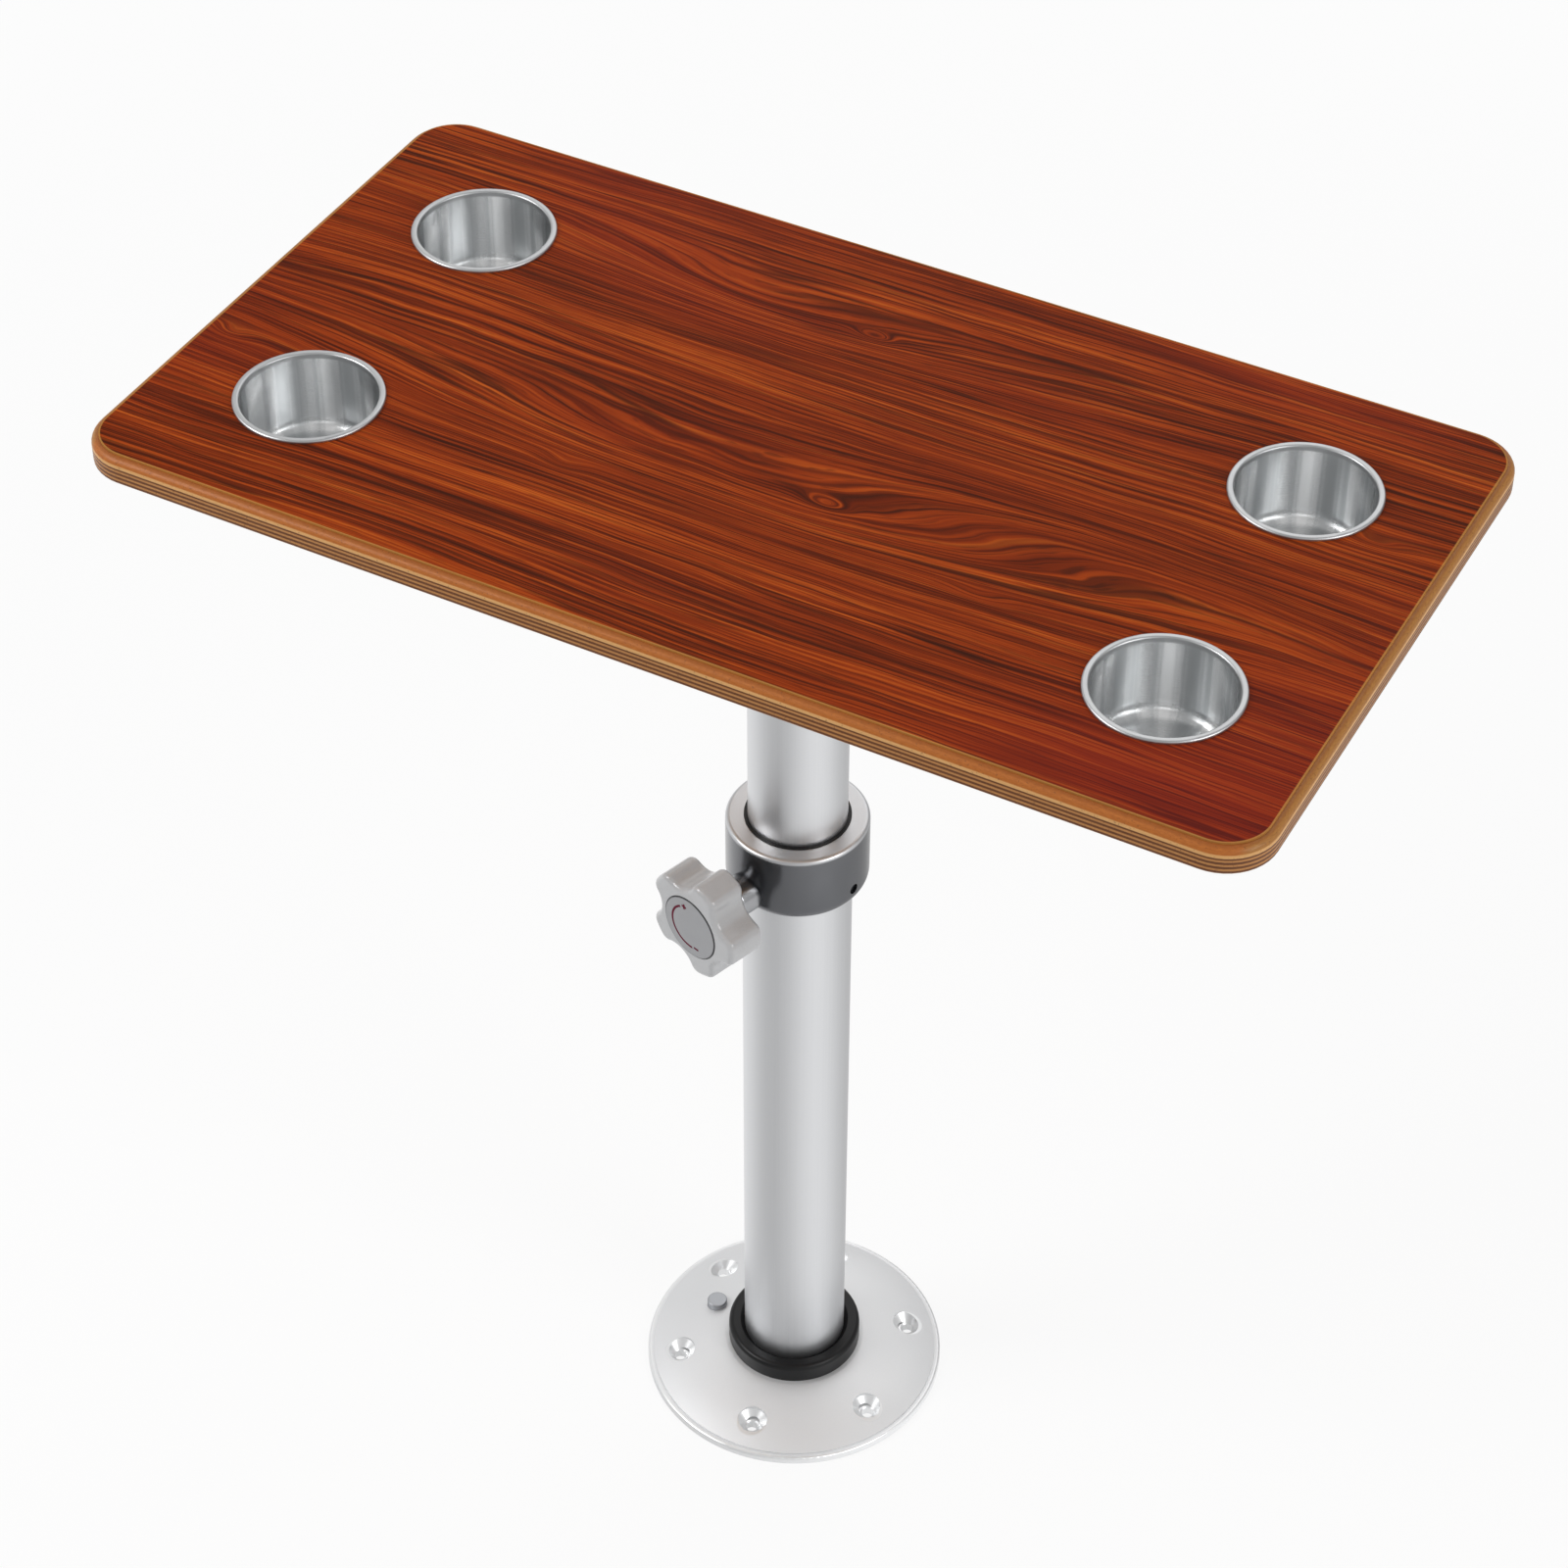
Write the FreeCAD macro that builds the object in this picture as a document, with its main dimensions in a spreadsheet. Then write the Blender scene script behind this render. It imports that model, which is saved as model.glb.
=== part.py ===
import FreeCAD, Part
import math
import os
import types

import Sketcher

# Adjustable camper table on a plug-in pedestal.
# Frame: origin on the floor at the column's axis, +Z up, +X along the table's long side.
# Lengths in millimetres, angles in degrees.

SIZES = [
    # table top
    ("table_height", 690.0),
    ("table_length", 635.0),
    ("table_width", 343.0),
    ("board_thickness", 15.0),
    ("corner_radius", 27.0),
    ("edge_round", 4.0),
    ("edge_ease", 2.0),
    ("laminate_thickness", 1.0),
    ("laminate_inset", 4.0),
    # cup holders
    ("cup_end_inset", 83.5),
    ("cup_side_inset", 88.0),
    ("cup_mouth_radius", 35.0),
    ("cup_wall", 0.8),
    ("cup_depth", 45.0),
    ("cup_corner", 8.0),
    ("cup_rim_width", 3.6),
    ("cup_rim_rise", 1.7),
    ("cup_hole_gap", 0.3),
    # plate under the board
    ("plate_radius", 82.0),
    ("plate_thickness", 5.0),
    ("plate_round", 1.5),
    ("hub_radius", 35.0),
    ("hub_foot_radius", 44.0),
    ("hub_length", 38.0),
    ("hub_roof", 6.0),
    ("web_thickness", 4.0),
    ("plate_screw_circle", 140.0),
    ("plate_screws", 6),
    ("wood_screw_radius", 2.2),
    ("wood_screw_head", 5.0),
    ("wood_screw_length", 17.0),
    ("hub_bush_wall", 2.0),
    ("hub_bush_lip", 1.5),
    ("hub_bush_flange", 31.5),
    # tubes
    ("upper_tube_radius", 27.0),
    ("upper_tube_wall", 2.0),
    ("upper_tube_length", 335.0),
    ("lower_tube_radius", 30.0),
    ("lower_tube_wall", 1.8),
    ("tube_overlap", 92.0),
    ("slide_clearance", 0.1),
    ("seat_clearance", 0.05),
    ("guide_length", 31.0),
    ("guide_floor", 6.0),
    ("guide_plug", 18.0),
    ("guide_plug_wall", 3.0),
    # collar and clamp
    ("collar_radius", 39.0),
    ("collar_length", 44.0),
    ("collar_socket", 26.0),
    ("collar_foot_round", 8.0),
    ("collar_top_round", 2.5),
    ("collar_bore_radius", 29.0),
    ("collar_bush_lip", 0.5),
    ("collar_bush_tail", 28.0),
    ("knob_drop", 32.5),
    ("knob_angle", 252.0),
    ("boss_radius", 11.0),
    ("boss_reach", 50.0),
    ("boss_blend", 1.5),
    ("stud_radius", 5.0),
    ("stud_clearance", 0.1),
    ("stud_tip", 0.8),
    ("shoe_length", 3.9),
    ("shoe_window", 5.3),
    ("grub_angle", 349.0),
    ("grub_radius", 3.0),
    ("grub_length", 6.0),
    ("grub_hex", 1.5),
    ("grub_count", 2),
    # knob
    ("knob_gap", 2.0),
    ("knob_neck_radius", 13.0),
    ("knob_neck", 4.0),
    ("knob_radius", 32.0),
    ("knob_thickness", 23.0),
    ("knob_lobes", 5),
    ("knob_valley_radius", 13.0),
    ("knob_valley_centre", 37.0),
    ("knob_valley_turn", -19.0),
    ("knob_lobe_round", 6.0),
    ("knob_edge_round", 3.0),
    ("knob_cap_radius", 19.0),
    ("knob_cap_thickness", 2.5),
    ("knob_cap_sink", 2.0),
    ("knob_cap_seam", 0.4),
    ("stud_head_flat", 8.0),
    ("stud_head_height", 6.4),
    # foot
    ("ring_radius", 39.5),
    ("ring_height", 12.0),
    ("ring_round", 3.0),
    ("ring_floor", 2.0),
    ("ring_bevel", 2.5),
    ("foot_plug_height", 28.0),
    ("foot_plug_wall", 4.0),
    ("spigot_radius", 27.9),
    ("lug_reach", 30.6),
    ("lug_height", 3.7),
    ("lug_angle", 24.0),
    ("lug_place", 203.5),
    ("lug_count", 3),
    ("lug_clearance", 0.3),
    ("lug_entry_play", 4.0),
    # base plate
    ("base_radius", 89.0),
    ("base_rim_height", 4.5),
    ("base_rim_round", 1.5),
    ("base_lip", 3.5),
    ("base_step", 0.7),
    ("base_height", 16.0),
    ("base_top_radius", 42.0),
    ("dome_radius", 150.0),
    ("base_rim_width", 9.0),
    ("base_roof", 2.5),
    ("base_hub_wall", 5.5),
    ("socket_ledge", 10.0),
    ("socket_gap", 0.4),
    ("base_hole_circle", 140.0),
    ("base_holes", 6),
    ("base_hole_phase", 37.0),
    ("base_hole_radius", 3.5),
    ("base_sink_radius", 9.0),
    ("base_sink_floor", 5.2),
    ("base_boss_radius", 11.5),
    ("base_boss_height", 6.0),
    ("rib_thickness", 3.0),
    ("rib_count", 5),
    ("rib_step", 60.0),
    # release button
    ("button_angle", 183.0),
    ("button_place", 52.0),
    ("button_radius", 6.0),
    ("button_top", 18.8),
    ("button_round", 1.0),
    ("button_clearance", 0.1),
    ("button_flange", 7.5),
    ("button_flange_height", 2.8),
    ("button_bottom", 6.6),
    ("button_cavity", 4.2),
    ("button_roof", 3.0),
    ("pawl_width", 8.0),
    ("pawl_reach", 29.5),
    ("pawl_slot_gap", 0.6),
    ("guide_boss_radius", 10.0),
    ("guide_boss_bottom", 9.6),
    ("spring_radius", 3.3),
    ("spring_wire", 0.35),
    ("spring_turns", 4),
    ("keeper_length", 34.0),
    ("keeper_width", 15.0),
    ("keeper_thickness", 1.2),
    ("keeper_bottom", 1.6),
    ("keeper_corner", 4.0),
    ("keeper_screw_spacing", 25.0),
    ("keeper_screw_radius", 1.5),
    ("keeper_screw_head", 3.0),
    ("keeper_head_height", 1.2),
    ("keeper_screw_length", 6.0),
    ("keeper_post_radius", 3.6),
]


class Size:
    """A length with its expression in the sheet (text) and its present value (now)."""

    def __init__(self, text, now):
        self.text = text
        self.now = float(now)

    def join(self, sign, other, now):
        return Size("(%s %s %s)" % (self.text, sign, as_size(other).text), now)

    def __add__(self, other):
        return self.join("+", other, self.now + as_size(other).now)

    def __sub__(self, other):
        return self.join("-", other, self.now - as_size(other).now)

    def __mul__(self, other):
        return self.join("*", other, self.now * as_size(other).now)

    def __truediv__(self, other):
        return self.join("/", other, self.now / as_size(other).now)

    def __neg__(self):
        return Size("(-1 * %s)" % self.text, -self.now)


def as_size(value):
    """A plain number as a Size; a Size stays as it is."""
    if isinstance(value, Size):
        return value
    return Size("%g" % value, value)


def fill_sheet(doc):
    """Write the driving sizes to the sheet and return them by name."""
    sheet = doc.addObject("Spreadsheet::Sheet", "Sizes")
    for row, (name, number) in enumerate(SIZES, start=1):
        sheet.set("A%d" % row, name)
        sheet.set("B%d" % row, "%g" % number)
        sheet.setAlias("B%d" % row, name)
    doc.recompute()
    return types.SimpleNamespace(**{name: Size("Sizes." + name, number) for name, number in SIZES})


os.makedirs("parts", exist_ok=True)
doc = FreeCAD.newDocument("camper_table")
size = fill_sheet(doc)
ZERO = as_size(0)

# Heights and radii that follow from the sizes
board_top = size.table_height - size.laminate_thickness
board_bottom = board_top - size.board_thickness
plate_bottom = board_bottom - size.plate_thickness
hub_bottom = plate_bottom - size.hub_length
hub_grub_height = hub_bottom + size.hub_length / 4
tube_top = board_bottom - size.hub_roof
upper_tube_bottom = tube_top - size.upper_tube_length
upper_tube_bore = size.upper_tube_radius - size.upper_tube_wall
ring_top = size.base_height + size.ring_height
lower_tube_bottom = size.base_height + size.ring_floor
lower_tube_top = upper_tube_bottom + size.tube_overlap
lower_tube_bore = size.lower_tube_radius - size.lower_tube_wall
collar_bottom = lower_tube_top - size.collar_socket
collar_top = collar_bottom + size.collar_length
knob_height = collar_top - size.knob_drop
slide_radius = size.upper_tube_radius + size.slide_clearance
bush_radius = lower_tube_bore - size.seat_clearance
thread_radius = size.stud_radius
shank_radius = size.stud_radius - size.stud_clearance
shoe_end = slide_radius + size.shoe_length
knob_back = size.boss_reach + size.knob_gap
knob_seat = knob_back + size.knob_neck
knob_front = knob_seat + size.knob_thickness
cap_floor = knob_front - size.knob_cap_sink
socket_radius = size.spigot_radius + size.slide_clearance
hub_outer = socket_radius + size.base_hub_wall
groove_radius = size.lug_reach + size.socket_gap
hub_bush_outer = slide_radius + size.hub_bush_wall
hub_bore = hub_bush_outer + size.seat_clearance
keeper_top = size.keeper_bottom + size.keeper_thickness
cavity_top = size.button_top - size.button_roof
cup_spacing_long = size.table_length - size.cup_end_inset * 2
cup_spacing_short = size.table_width - size.cup_side_inset * 2
cup_rim_round = size.cup_rim_rise * 0.7
cup_outer_radius = size.cup_mouth_radius + size.cup_wall
cup_hole_radius = cup_outer_radius + size.cup_hole_gap


def add_body(node):
    """A body whose label is the name of its node."""
    body = doc.addObject("PartDesign::Body", node)
    body.Label = node
    return body


def origin_part(body, role):
    """The body's own origin plane or axis with this role."""
    return [item for item in body.Origin.OriginFeatures if item.Role == role][0]


def flat_sketch(body, name, height=ZERO, turn=None):
    """A level sketch at a height, turned about the vertical axis by an angle."""
    sketch = body.newObject("Sketcher::SketchObject", name)
    sketch.AttachmentSupport = [(origin_part(body, "XY_Plane"), "")]
    sketch.MapMode = "FlatFace"
    angle = turn.now if turn else 0.0
    spin = FreeCAD.Rotation(FreeCAD.Vector(0, 0, 1), angle)
    sketch.AttachmentOffset = FreeCAD.Placement(FreeCAD.Vector(0, 0, height.now), spin)
    sketch.setExpression("AttachmentOffset.Base.z", height.text)
    if turn:
        sketch.setExpression("AttachmentOffset.Rotation.Angle", turn.text)
    return sketch


def upright_sketch(body, name, turn=None):
    """A vertical sketch through the axis: across is the radius at the angle, up is Z."""
    sketch = body.newObject("Sketcher::SketchObject", name)
    sketch.AttachmentSupport = [(origin_part(body, "XZ_Plane"), "")]
    sketch.MapMode = "FlatFace"
    if turn:
        spin = FreeCAD.Rotation(FreeCAD.Vector(0, 1, 0), turn.now)
        sketch.AttachmentOffset = FreeCAD.Placement(FreeCAD.Vector(0, 0, 0), spin)
        sketch.setExpression("AttachmentOffset.Rotation.Angle", turn.text)
    return sketch


def bind(sketch, constraint, value):
    """Add a dimension and tie it to the sheet."""
    index = sketch.addConstraint(constraint)
    if "Sizes" in value.text:
        sketch.setExpression("Constraints[%d]" % index, value.text)


def pin(sketch, edge, end, across, up):
    """Dimension one point of the sketch from its origin."""
    bind(sketch, Sketcher.Constraint("DistanceX", -1, 1, edge, end, across.now), across)
    bind(sketch, Sketcher.Constraint("DistanceY", -1, 1, edge, end, up.now), up)


def arc_between(start, end, radius):
    """Arc of a radius between two points; a positive radius bulges to the left of the way."""
    chord = end - start
    half = chord.Length / 2
    left = FreeCAD.Vector(-chord.y, chord.x, 0).normalize()
    side = 1 if radius > 0 else -1
    centre = (start + end) * 0.5 - left * side * math.sqrt(radius * radius - half * half)
    first, last = (end, start) if radius > 0 else (start, end)
    angles = [math.atan2(spot.y - centre.y, spot.x - centre.x) for spot in (first, last)]
    whole = Part.Circle(centre, FreeCAD.Vector(0, 0, 1), abs(radius))
    return Part.ArcOfCircle(whole, angles[0], angles[1])


def outline(sketch, points):
    """Closed outline through (across, up) points; a third entry is the arc's radius."""
    points = [tuple(as_size(value) for value in point) for point in points]
    spots = [FreeCAD.Vector(point[0].now, point[1].now, 0) for point in points]
    edges = []
    for index, point in enumerate(points):
        start, end = spots[index - 1], spots[index]
        if len(point) == 3:
            curve = arc_between(start, end, point[2].now)
            edge = sketch.addGeometry(curve, False)
            forward = sketch.Geometry[edge].StartPoint.distanceToPoint(start) < 1e-6
            edges.append((edge, 1, 2) if forward else (edge, 2, 1))
            radius = Sketcher.Constraint("Radius", edge, abs(point[2].now))
            bind(sketch, radius, point[2] * side_of(point[2]))
        else:
            edge = sketch.addGeometry(Part.LineSegment(start, end), False)
            edges.append((edge, 1, 2))
    for index, (edge, first, last) in enumerate(edges):
        following, begin, _ = edges[(index + 1) % len(edges)]
        sketch.addConstraint(Sketcher.Constraint("Coincident", edge, last, following, begin))
        pin(sketch, edge, last, points[index][0], points[index][1])


def side_of(value):
    """1 for a positive size and -1 for a negative one."""
    return 1 if value.now > 0 else -1


def circle(sketch, across, up, radius):
    """Circle dimensioned from the sketch's origin."""
    across, up, radius = as_size(across), as_size(up), as_size(radius)
    centre = FreeCAD.Vector(across.now, up.now, 0)
    edge = sketch.addGeometry(Part.Circle(centre, FreeCAD.Vector(0, 0, 1), radius.now), False)
    pin(sketch, edge, 3, across, up)
    bind(sketch, Sketcher.Constraint("Radius", edge, radius.now), radius)


def axis_line(sketch, start, end):
    """Construction line that a profile turns about."""
    start = tuple(as_size(value) for value in start)
    end = tuple(as_size(value) for value in end)
    ends = [FreeCAD.Vector(point[0].now, point[1].now, 0) for point in (start, end)]
    edge = sketch.addGeometry(Part.LineSegment(ends[0], ends[1]), True)
    pin(sketch, edge, 1, start[0], start[1])
    pin(sketch, edge, 2, end[0], end[1])


def rectangle(sketch, length, width, centre=(ZERO, ZERO)):
    """Rectangle about a centre, with its sides along the sketch's axes."""
    length, width = as_size(length), as_size(width)
    right, left = centre[0] + length / 2, centre[0] - length / 2
    top, bottom = centre[1] + width / 2, centre[1] - width / 2
    outline(sketch, [(left, bottom), (right, bottom), (right, top), (left, top)])


def shaped(body, feature, cuts, volume):
    """Recompute and check that the feature added or removed material."""
    doc.recompute()
    changed = volume - feature.Shape.Volume if cuts else feature.Shape.Volume - volume
    if changed < 1e-4:
        feature.Reversed = not feature.Reversed
        doc.recompute()
        changed = volume - feature.Shape.Volume if cuts else feature.Shape.Volume - volume
    if changed < 1e-4:
        raise RuntimeError("%s changes nothing" % feature.Label)
    return feature


def volume_of(body):
    """Volume of the body so far."""
    doc.recompute()
    return body.Shape.Volume if body.Tip else 0.0


def turned(body, name, sketch, axis="V_Axis", cuts=False, sweep=None):
    """Revolve a profile, or cut it as a groove; a sweep is centred on the sketch."""
    volume = volume_of(body)
    kind = "PartDesign::Groove" if cuts else "PartDesign::Revolution"
    feature = body.newObject(kind, name)
    feature.Profile = sketch
    feature.ReferenceAxis = (sketch, [axis])
    feature.Angle = 360.0
    if sweep:
        feature.Midplane = True
        feature.setExpression("Angle", sweep.text)
    sketch.Visibility = False
    return shaped(body, feature, cuts, volume)


def raised(body, name, sketch, height, cuts=False, middle=False):
    """Pad a sketch by a height, or cut it as a pocket."""
    volume = volume_of(body)
    kind = "PartDesign::Pocket" if cuts else "PartDesign::Pad"
    feature = body.newObject(kind, name)
    feature.Profile = sketch
    feature.Midplane = middle
    height = as_size(height)
    feature.Length = height.now
    feature.setExpression("Length", height.text)
    sketch.Visibility = False
    return shaped(body, feature, cuts, volume)


def around(body, name, feature, count, step=None):
    """Repeat a feature about the vertical axis, over a full turn or by a step."""
    pattern = body.newObject("PartDesign::PolarPattern", name)
    pattern.Originals = [feature]
    pattern.Axis = (origin_part(body, "Z_Axis"), [""])
    pattern.Angle = 360.0
    pattern.Occurrences = int(count.now)
    pattern.setExpression("Occurrences", count.text)
    if step:
        pattern.setExpression("Angle", (step * (count - 1)).text)
    body.Tip = pattern
    doc.recompute()
    return pattern


def rounded(body, name, radius, test, kind="PartDesign::Fillet"):
    """Fillet the edges of the body so far that pass the test."""
    doc.recompute()
    base = body.Tip
    names = ["Edge%d" % (index + 1) for index, edge in enumerate(base.Shape.Edges) if test(edge)]
    if not names:
        raise RuntimeError("%s finds no edge" % name)
    feature = body.newObject(kind, name)
    feature.Base = (base, names)
    measure = "Radius" if kind == "PartDesign::Fillet" else "Size"
    feature.setExpression(measure, radius.text)
    doc.recompute()
    return feature


def ring_at(radius, height):
    """Test for a circle about the vertical axis with this radius and height."""
    def test(edge):
        curve = edge.Curve
        if not isinstance(curve, Part.Circle):
            return False
        centred = math.hypot(curve.Center.x, curve.Center.y) < 1e-4
        level = abs(curve.Center.z - height.now) < 1e-4
        return centred and level and abs(curve.Radius - radius.now) < 1e-4
    return test


def upright(edge):
    """Test for a straight vertical edge."""
    return isinstance(edge.Curve, Part.Line) and abs(edge.Curve.Direction.z) > 0.999


def level_at(height):
    """Test for an edge that lies wholly at a height."""
    def test(edge):
        box = edge.BoundBox
        return abs(box.ZMin - height.now) < 1e-4 and abs(box.ZMax - height.now) < 1e-4
    return test


def cup_circles(sketch, radius):
    """The four circles of the cup holders."""
    for across in (-1, 1):
        for up in (-1, 1):
            circle(sketch, cup_spacing_long * (across * 0.5), cup_spacing_short * (up * 0.5), radius)


def table_board():
    """Plywood board: rounded corners and edges, four cup holes, pilot holes below."""
    body = add_body("table_board")
    sketch = flat_sketch(body, "board_outline", board_bottom)
    rectangle(sketch, size.table_length, size.table_width)
    raised(body, "board_block", sketch, size.board_thickness)
    rounded(body, "board_corners", size.corner_radius, upright)
    rounded(body, "board_top_round", size.edge_round, level_at(board_top))
    rounded(body, "board_bottom_ease", size.edge_ease, level_at(board_bottom))
    holes = flat_sketch(body, "board_cup_circles", board_top)
    cup_circles(holes, cup_hole_radius)
    raised(body, "board_cup_holes", holes, size.board_thickness, cuts=True)
    pilot = upright_sketch(body, "pilot_profile")
    screw_profile(pilot)
    cut = turned(body, "pilot_hole", pilot, "Axis0", cuts=True)
    around(body, "pilot_holes", cut, size.plate_screws)


def top_laminate():
    """Thin sheet on the board, set in from the board's edge."""
    body = add_body("top_laminate")
    sketch = flat_sketch(body, "sheet_outline", board_top)
    inset = size.laminate_inset * 2
    rectangle(sketch, size.table_length - inset, size.table_width - inset)
    raised(body, "sheet_block", sketch, size.laminate_thickness)
    rounded(body, "sheet_corners", size.corner_radius - size.laminate_inset, upright)
    holes = flat_sketch(body, "sheet_cup_circles", size.table_height)
    cup_circles(holes, cup_hole_radius)
    raised(body, "sheet_cup_holes", holes, size.laminate_thickness, cuts=True)


def cup_holder(number, across, up):
    """Deep-drawn cup holder: wall, rounded bottom corner and rolled rim."""
    body = add_body("cup_holder_%d" % number)
    rim_radius = size.cup_mouth_radius + size.cup_rim_width
    sketch = upright_sketch(body, "cup_profile")
    floor = -size.cup_depth
    outline(sketch, [
        (ZERO, floor),
        (cup_outer_radius, floor),
        (cup_outer_radius, ZERO),
        (rim_radius, ZERO),
        (rim_radius, size.cup_rim_rise),
        (size.cup_mouth_radius, size.cup_rim_rise),
        (size.cup_mouth_radius, floor + size.cup_wall),
        (ZERO, floor + size.cup_wall),
    ])
    turned(body, "cup_shell", sketch)
    rounded(body, "cup_outer_corner", size.cup_corner, ring_at(cup_outer_radius, floor))
    inner = size.cup_corner - size.cup_wall
    rounded(body, "cup_inner_corner", inner, ring_at(size.cup_mouth_radius, floor + size.cup_wall))
    rounded(body, "cup_rim_round", cup_rim_round, ring_at(rim_radius, size.cup_rim_rise))
    rounded(body, "cup_mouth_round", cup_rim_round, ring_at(size.cup_mouth_radius, size.cup_rim_rise))
    place = (cup_spacing_long * (across * 0.5), cup_spacing_short * (up * 0.5), size.table_height)
    body.setExpression("Placement.Base.x", place[0].text)
    body.setExpression("Placement.Base.y", place[1].text)
    body.setExpression("Placement.Base.z", place[2].text)


def screw_profile(sketch):
    """Half section of a countersunk wood screw, with its axis on the screw circle."""
    centre = size.plate_screw_circle / 2
    sink = size.wood_screw_head - size.wood_screw_radius
    tip = plate_bottom + size.wood_screw_length
    axis_line(sketch, (centre, plate_bottom), (centre, tip))
    outline(sketch, [
        (centre, plate_bottom),
        (centre + size.wood_screw_head, plate_bottom),
        (centre + size.wood_screw_radius, plate_bottom + sink),
        (centre + size.wood_screw_radius, tip - size.wood_screw_radius),
        (centre, tip),
    ])


def mount_plate():
    """Cast plate with a flared hub, six webs and six countersunk holes."""
    body = add_body("mount_plate")
    sketch = upright_sketch(body, "plate_profile")
    outline(sketch, [
        (ZERO, board_bottom),
        (size.plate_radius, board_bottom),
        (size.plate_radius, plate_bottom),
        (size.hub_foot_radius, plate_bottom),
        (size.hub_radius, hub_bottom),
        (hub_bore, hub_bottom),
        (hub_bore, tube_top),
        (ZERO, tube_top),
    ])
    turned(body, "plate_casting", sketch)
    rounded(body, "plate_rim_round", size.plate_round, ring_at(size.plate_radius, plate_bottom))
    web = upright_sketch(body, "web_profile", size.rib_step / 2)
    wall = (hub_bore + size.hub_radius) / 2
    outline(web, [
        (wall, plate_bottom + size.plate_thickness / 2),
        (wall, hub_bottom + size.hub_length / 4),
        (size.hub_radius + size.web_thickness / 2, hub_bottom + size.hub_length / 4),
        (size.plate_radius - size.plate_thickness, plate_bottom),
        (size.plate_radius - size.plate_thickness, plate_bottom + size.plate_thickness / 2),
    ])
    rib = raised(body, "hub_web", web, size.web_thickness, middle=True)
    around(body, "hub_webs", rib, size.plate_screws)
    hole = upright_sketch(body, "plate_hole_profile")
    screw_profile(hole)
    cut = turned(body, "plate_hole", hole, "Axis0", cuts=True)
    around(body, "plate_holes", cut, size.plate_screws)
    grub = upright_sketch(body, "hub_grub_hole", size.knob_angle)
    grub_hole(grub, hub_grub_height, hub_bore - size.hub_bush_wall, size.hub_foot_radius)
    turned(body, "hub_grub_cut", grub, "Axis0", cuts=True)




def grub_hole(sketch, height, start, end):
    """Rectangle that turns into a level radial hole for a grub screw."""
    axis_line(sketch, (start, height), (end, height))
    outline(sketch, [
        (start, height),
        (end, height),
        (end, height + size.grub_radius),
        (start, height + size.grub_radius),
    ])


def grub_screw(body, name, start, height, turn):
    """Grub screw with a hexagon socket, lying along a radius."""
    sketch = upright_sketch(body, name + "_profile", turn)
    end = start + size.grub_length
    axis_line(sketch, (start, height), (end, height))
    outline(sketch, [
        (start, height),
        (end, height),
        (end, height + size.grub_radius),
        (start + size.grub_radius / 3, height + size.grub_radius),
        (start, height + size.grub_radius * 2 / 3),
    ])
    screw = turned(body, name, sketch, "Axis0")
    socket = upright_sketch(body, name + "_socket", turn)
    axis_line(socket, (start, height), (end, height))
    outline(socket, [
        (end - size.grub_length / 2, height),
        (end, height),
        (end, height + size.grub_hex),
        (end - size.grub_length / 2, height + size.grub_hex),
    ])
    return screw, turned(body, name + "_drive", socket, "Axis0", cuts=True)


def mount_screws():
    """Six countersunk wood screws between plate and board."""
    body = add_body("mount_screws")
    sketch = upright_sketch(body, "wood_screw_profile")
    screw_profile(sketch)
    screw = turned(body, "wood_screw", sketch, "Axis0")
    around(body, "wood_screws", screw, size.plate_screws)


def socket_bush():
    """Black sleeve in the hub, with a flange below it."""
    body = add_body("socket_bush")
    sketch = upright_sketch(body, "socket_bush_profile")
    lip = hub_bottom - size.hub_bush_lip
    outline(sketch, [
        (size.upper_tube_radius, lip),
        (size.hub_bush_flange, lip),
        (size.hub_bush_flange, hub_bottom),
        (hub_bush_outer, hub_bottom),
        (hub_bush_outer, tube_top),
        (size.upper_tube_radius, tube_top),
    ])
    turned(body, "socket_bush_sleeve", sketch)
    grub = upright_sketch(body, "socket_bush_hole", size.knob_angle)
    grub_hole(grub, hub_grub_height, size.upper_tube_radius - size.upper_tube_wall, size.hub_radius)
    turned(body, "socket_bush_window", grub, "Axis0", cuts=True)


def hub_screw():
    """Grub screw that holds the upper tube in the hub."""
    body = add_body("hub_screw")
    grub_screw(body, "hub_grub", size.upper_tube_radius, hub_grub_height, size.knob_angle)


def upper_tube():
    """Anodised tube that slides in the column."""
    body = add_body("upper_tube")
    sketch = flat_sketch(body, "upper_tube_section", upper_tube_bottom)
    circle(sketch, ZERO, ZERO, size.upper_tube_radius)
    circle(sketch, ZERO, ZERO, upper_tube_bore)
    raised(body, "upper_tube_wall_pad", sketch, size.upper_tube_length)


def guide_bush():
    """Nylon sleeve and plug in which the upper tube's lower end turns."""
    body = add_body("guide_bush")
    sketch = upright_sketch(body, "guide_profile")
    floor = upper_tube_bottom - size.slide_clearance
    outer = lower_tube_bore - size.slide_clearance
    plug = upper_tube_bore - size.slide_clearance
    hollow = plug - size.guide_plug_wall
    outline(sketch, [
        (hollow, floor - size.guide_floor),
        (outer, floor - size.guide_floor),
        (outer, upper_tube_bottom + size.guide_length),
        (slide_radius, upper_tube_bottom + size.guide_length),
        (slide_radius, floor),
        (plug, floor),
        (plug, upper_tube_bottom + size.guide_plug),
        (hollow, upper_tube_bottom + size.guide_plug),
    ])
    turned(body, "guide_sleeve", sketch)


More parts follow.
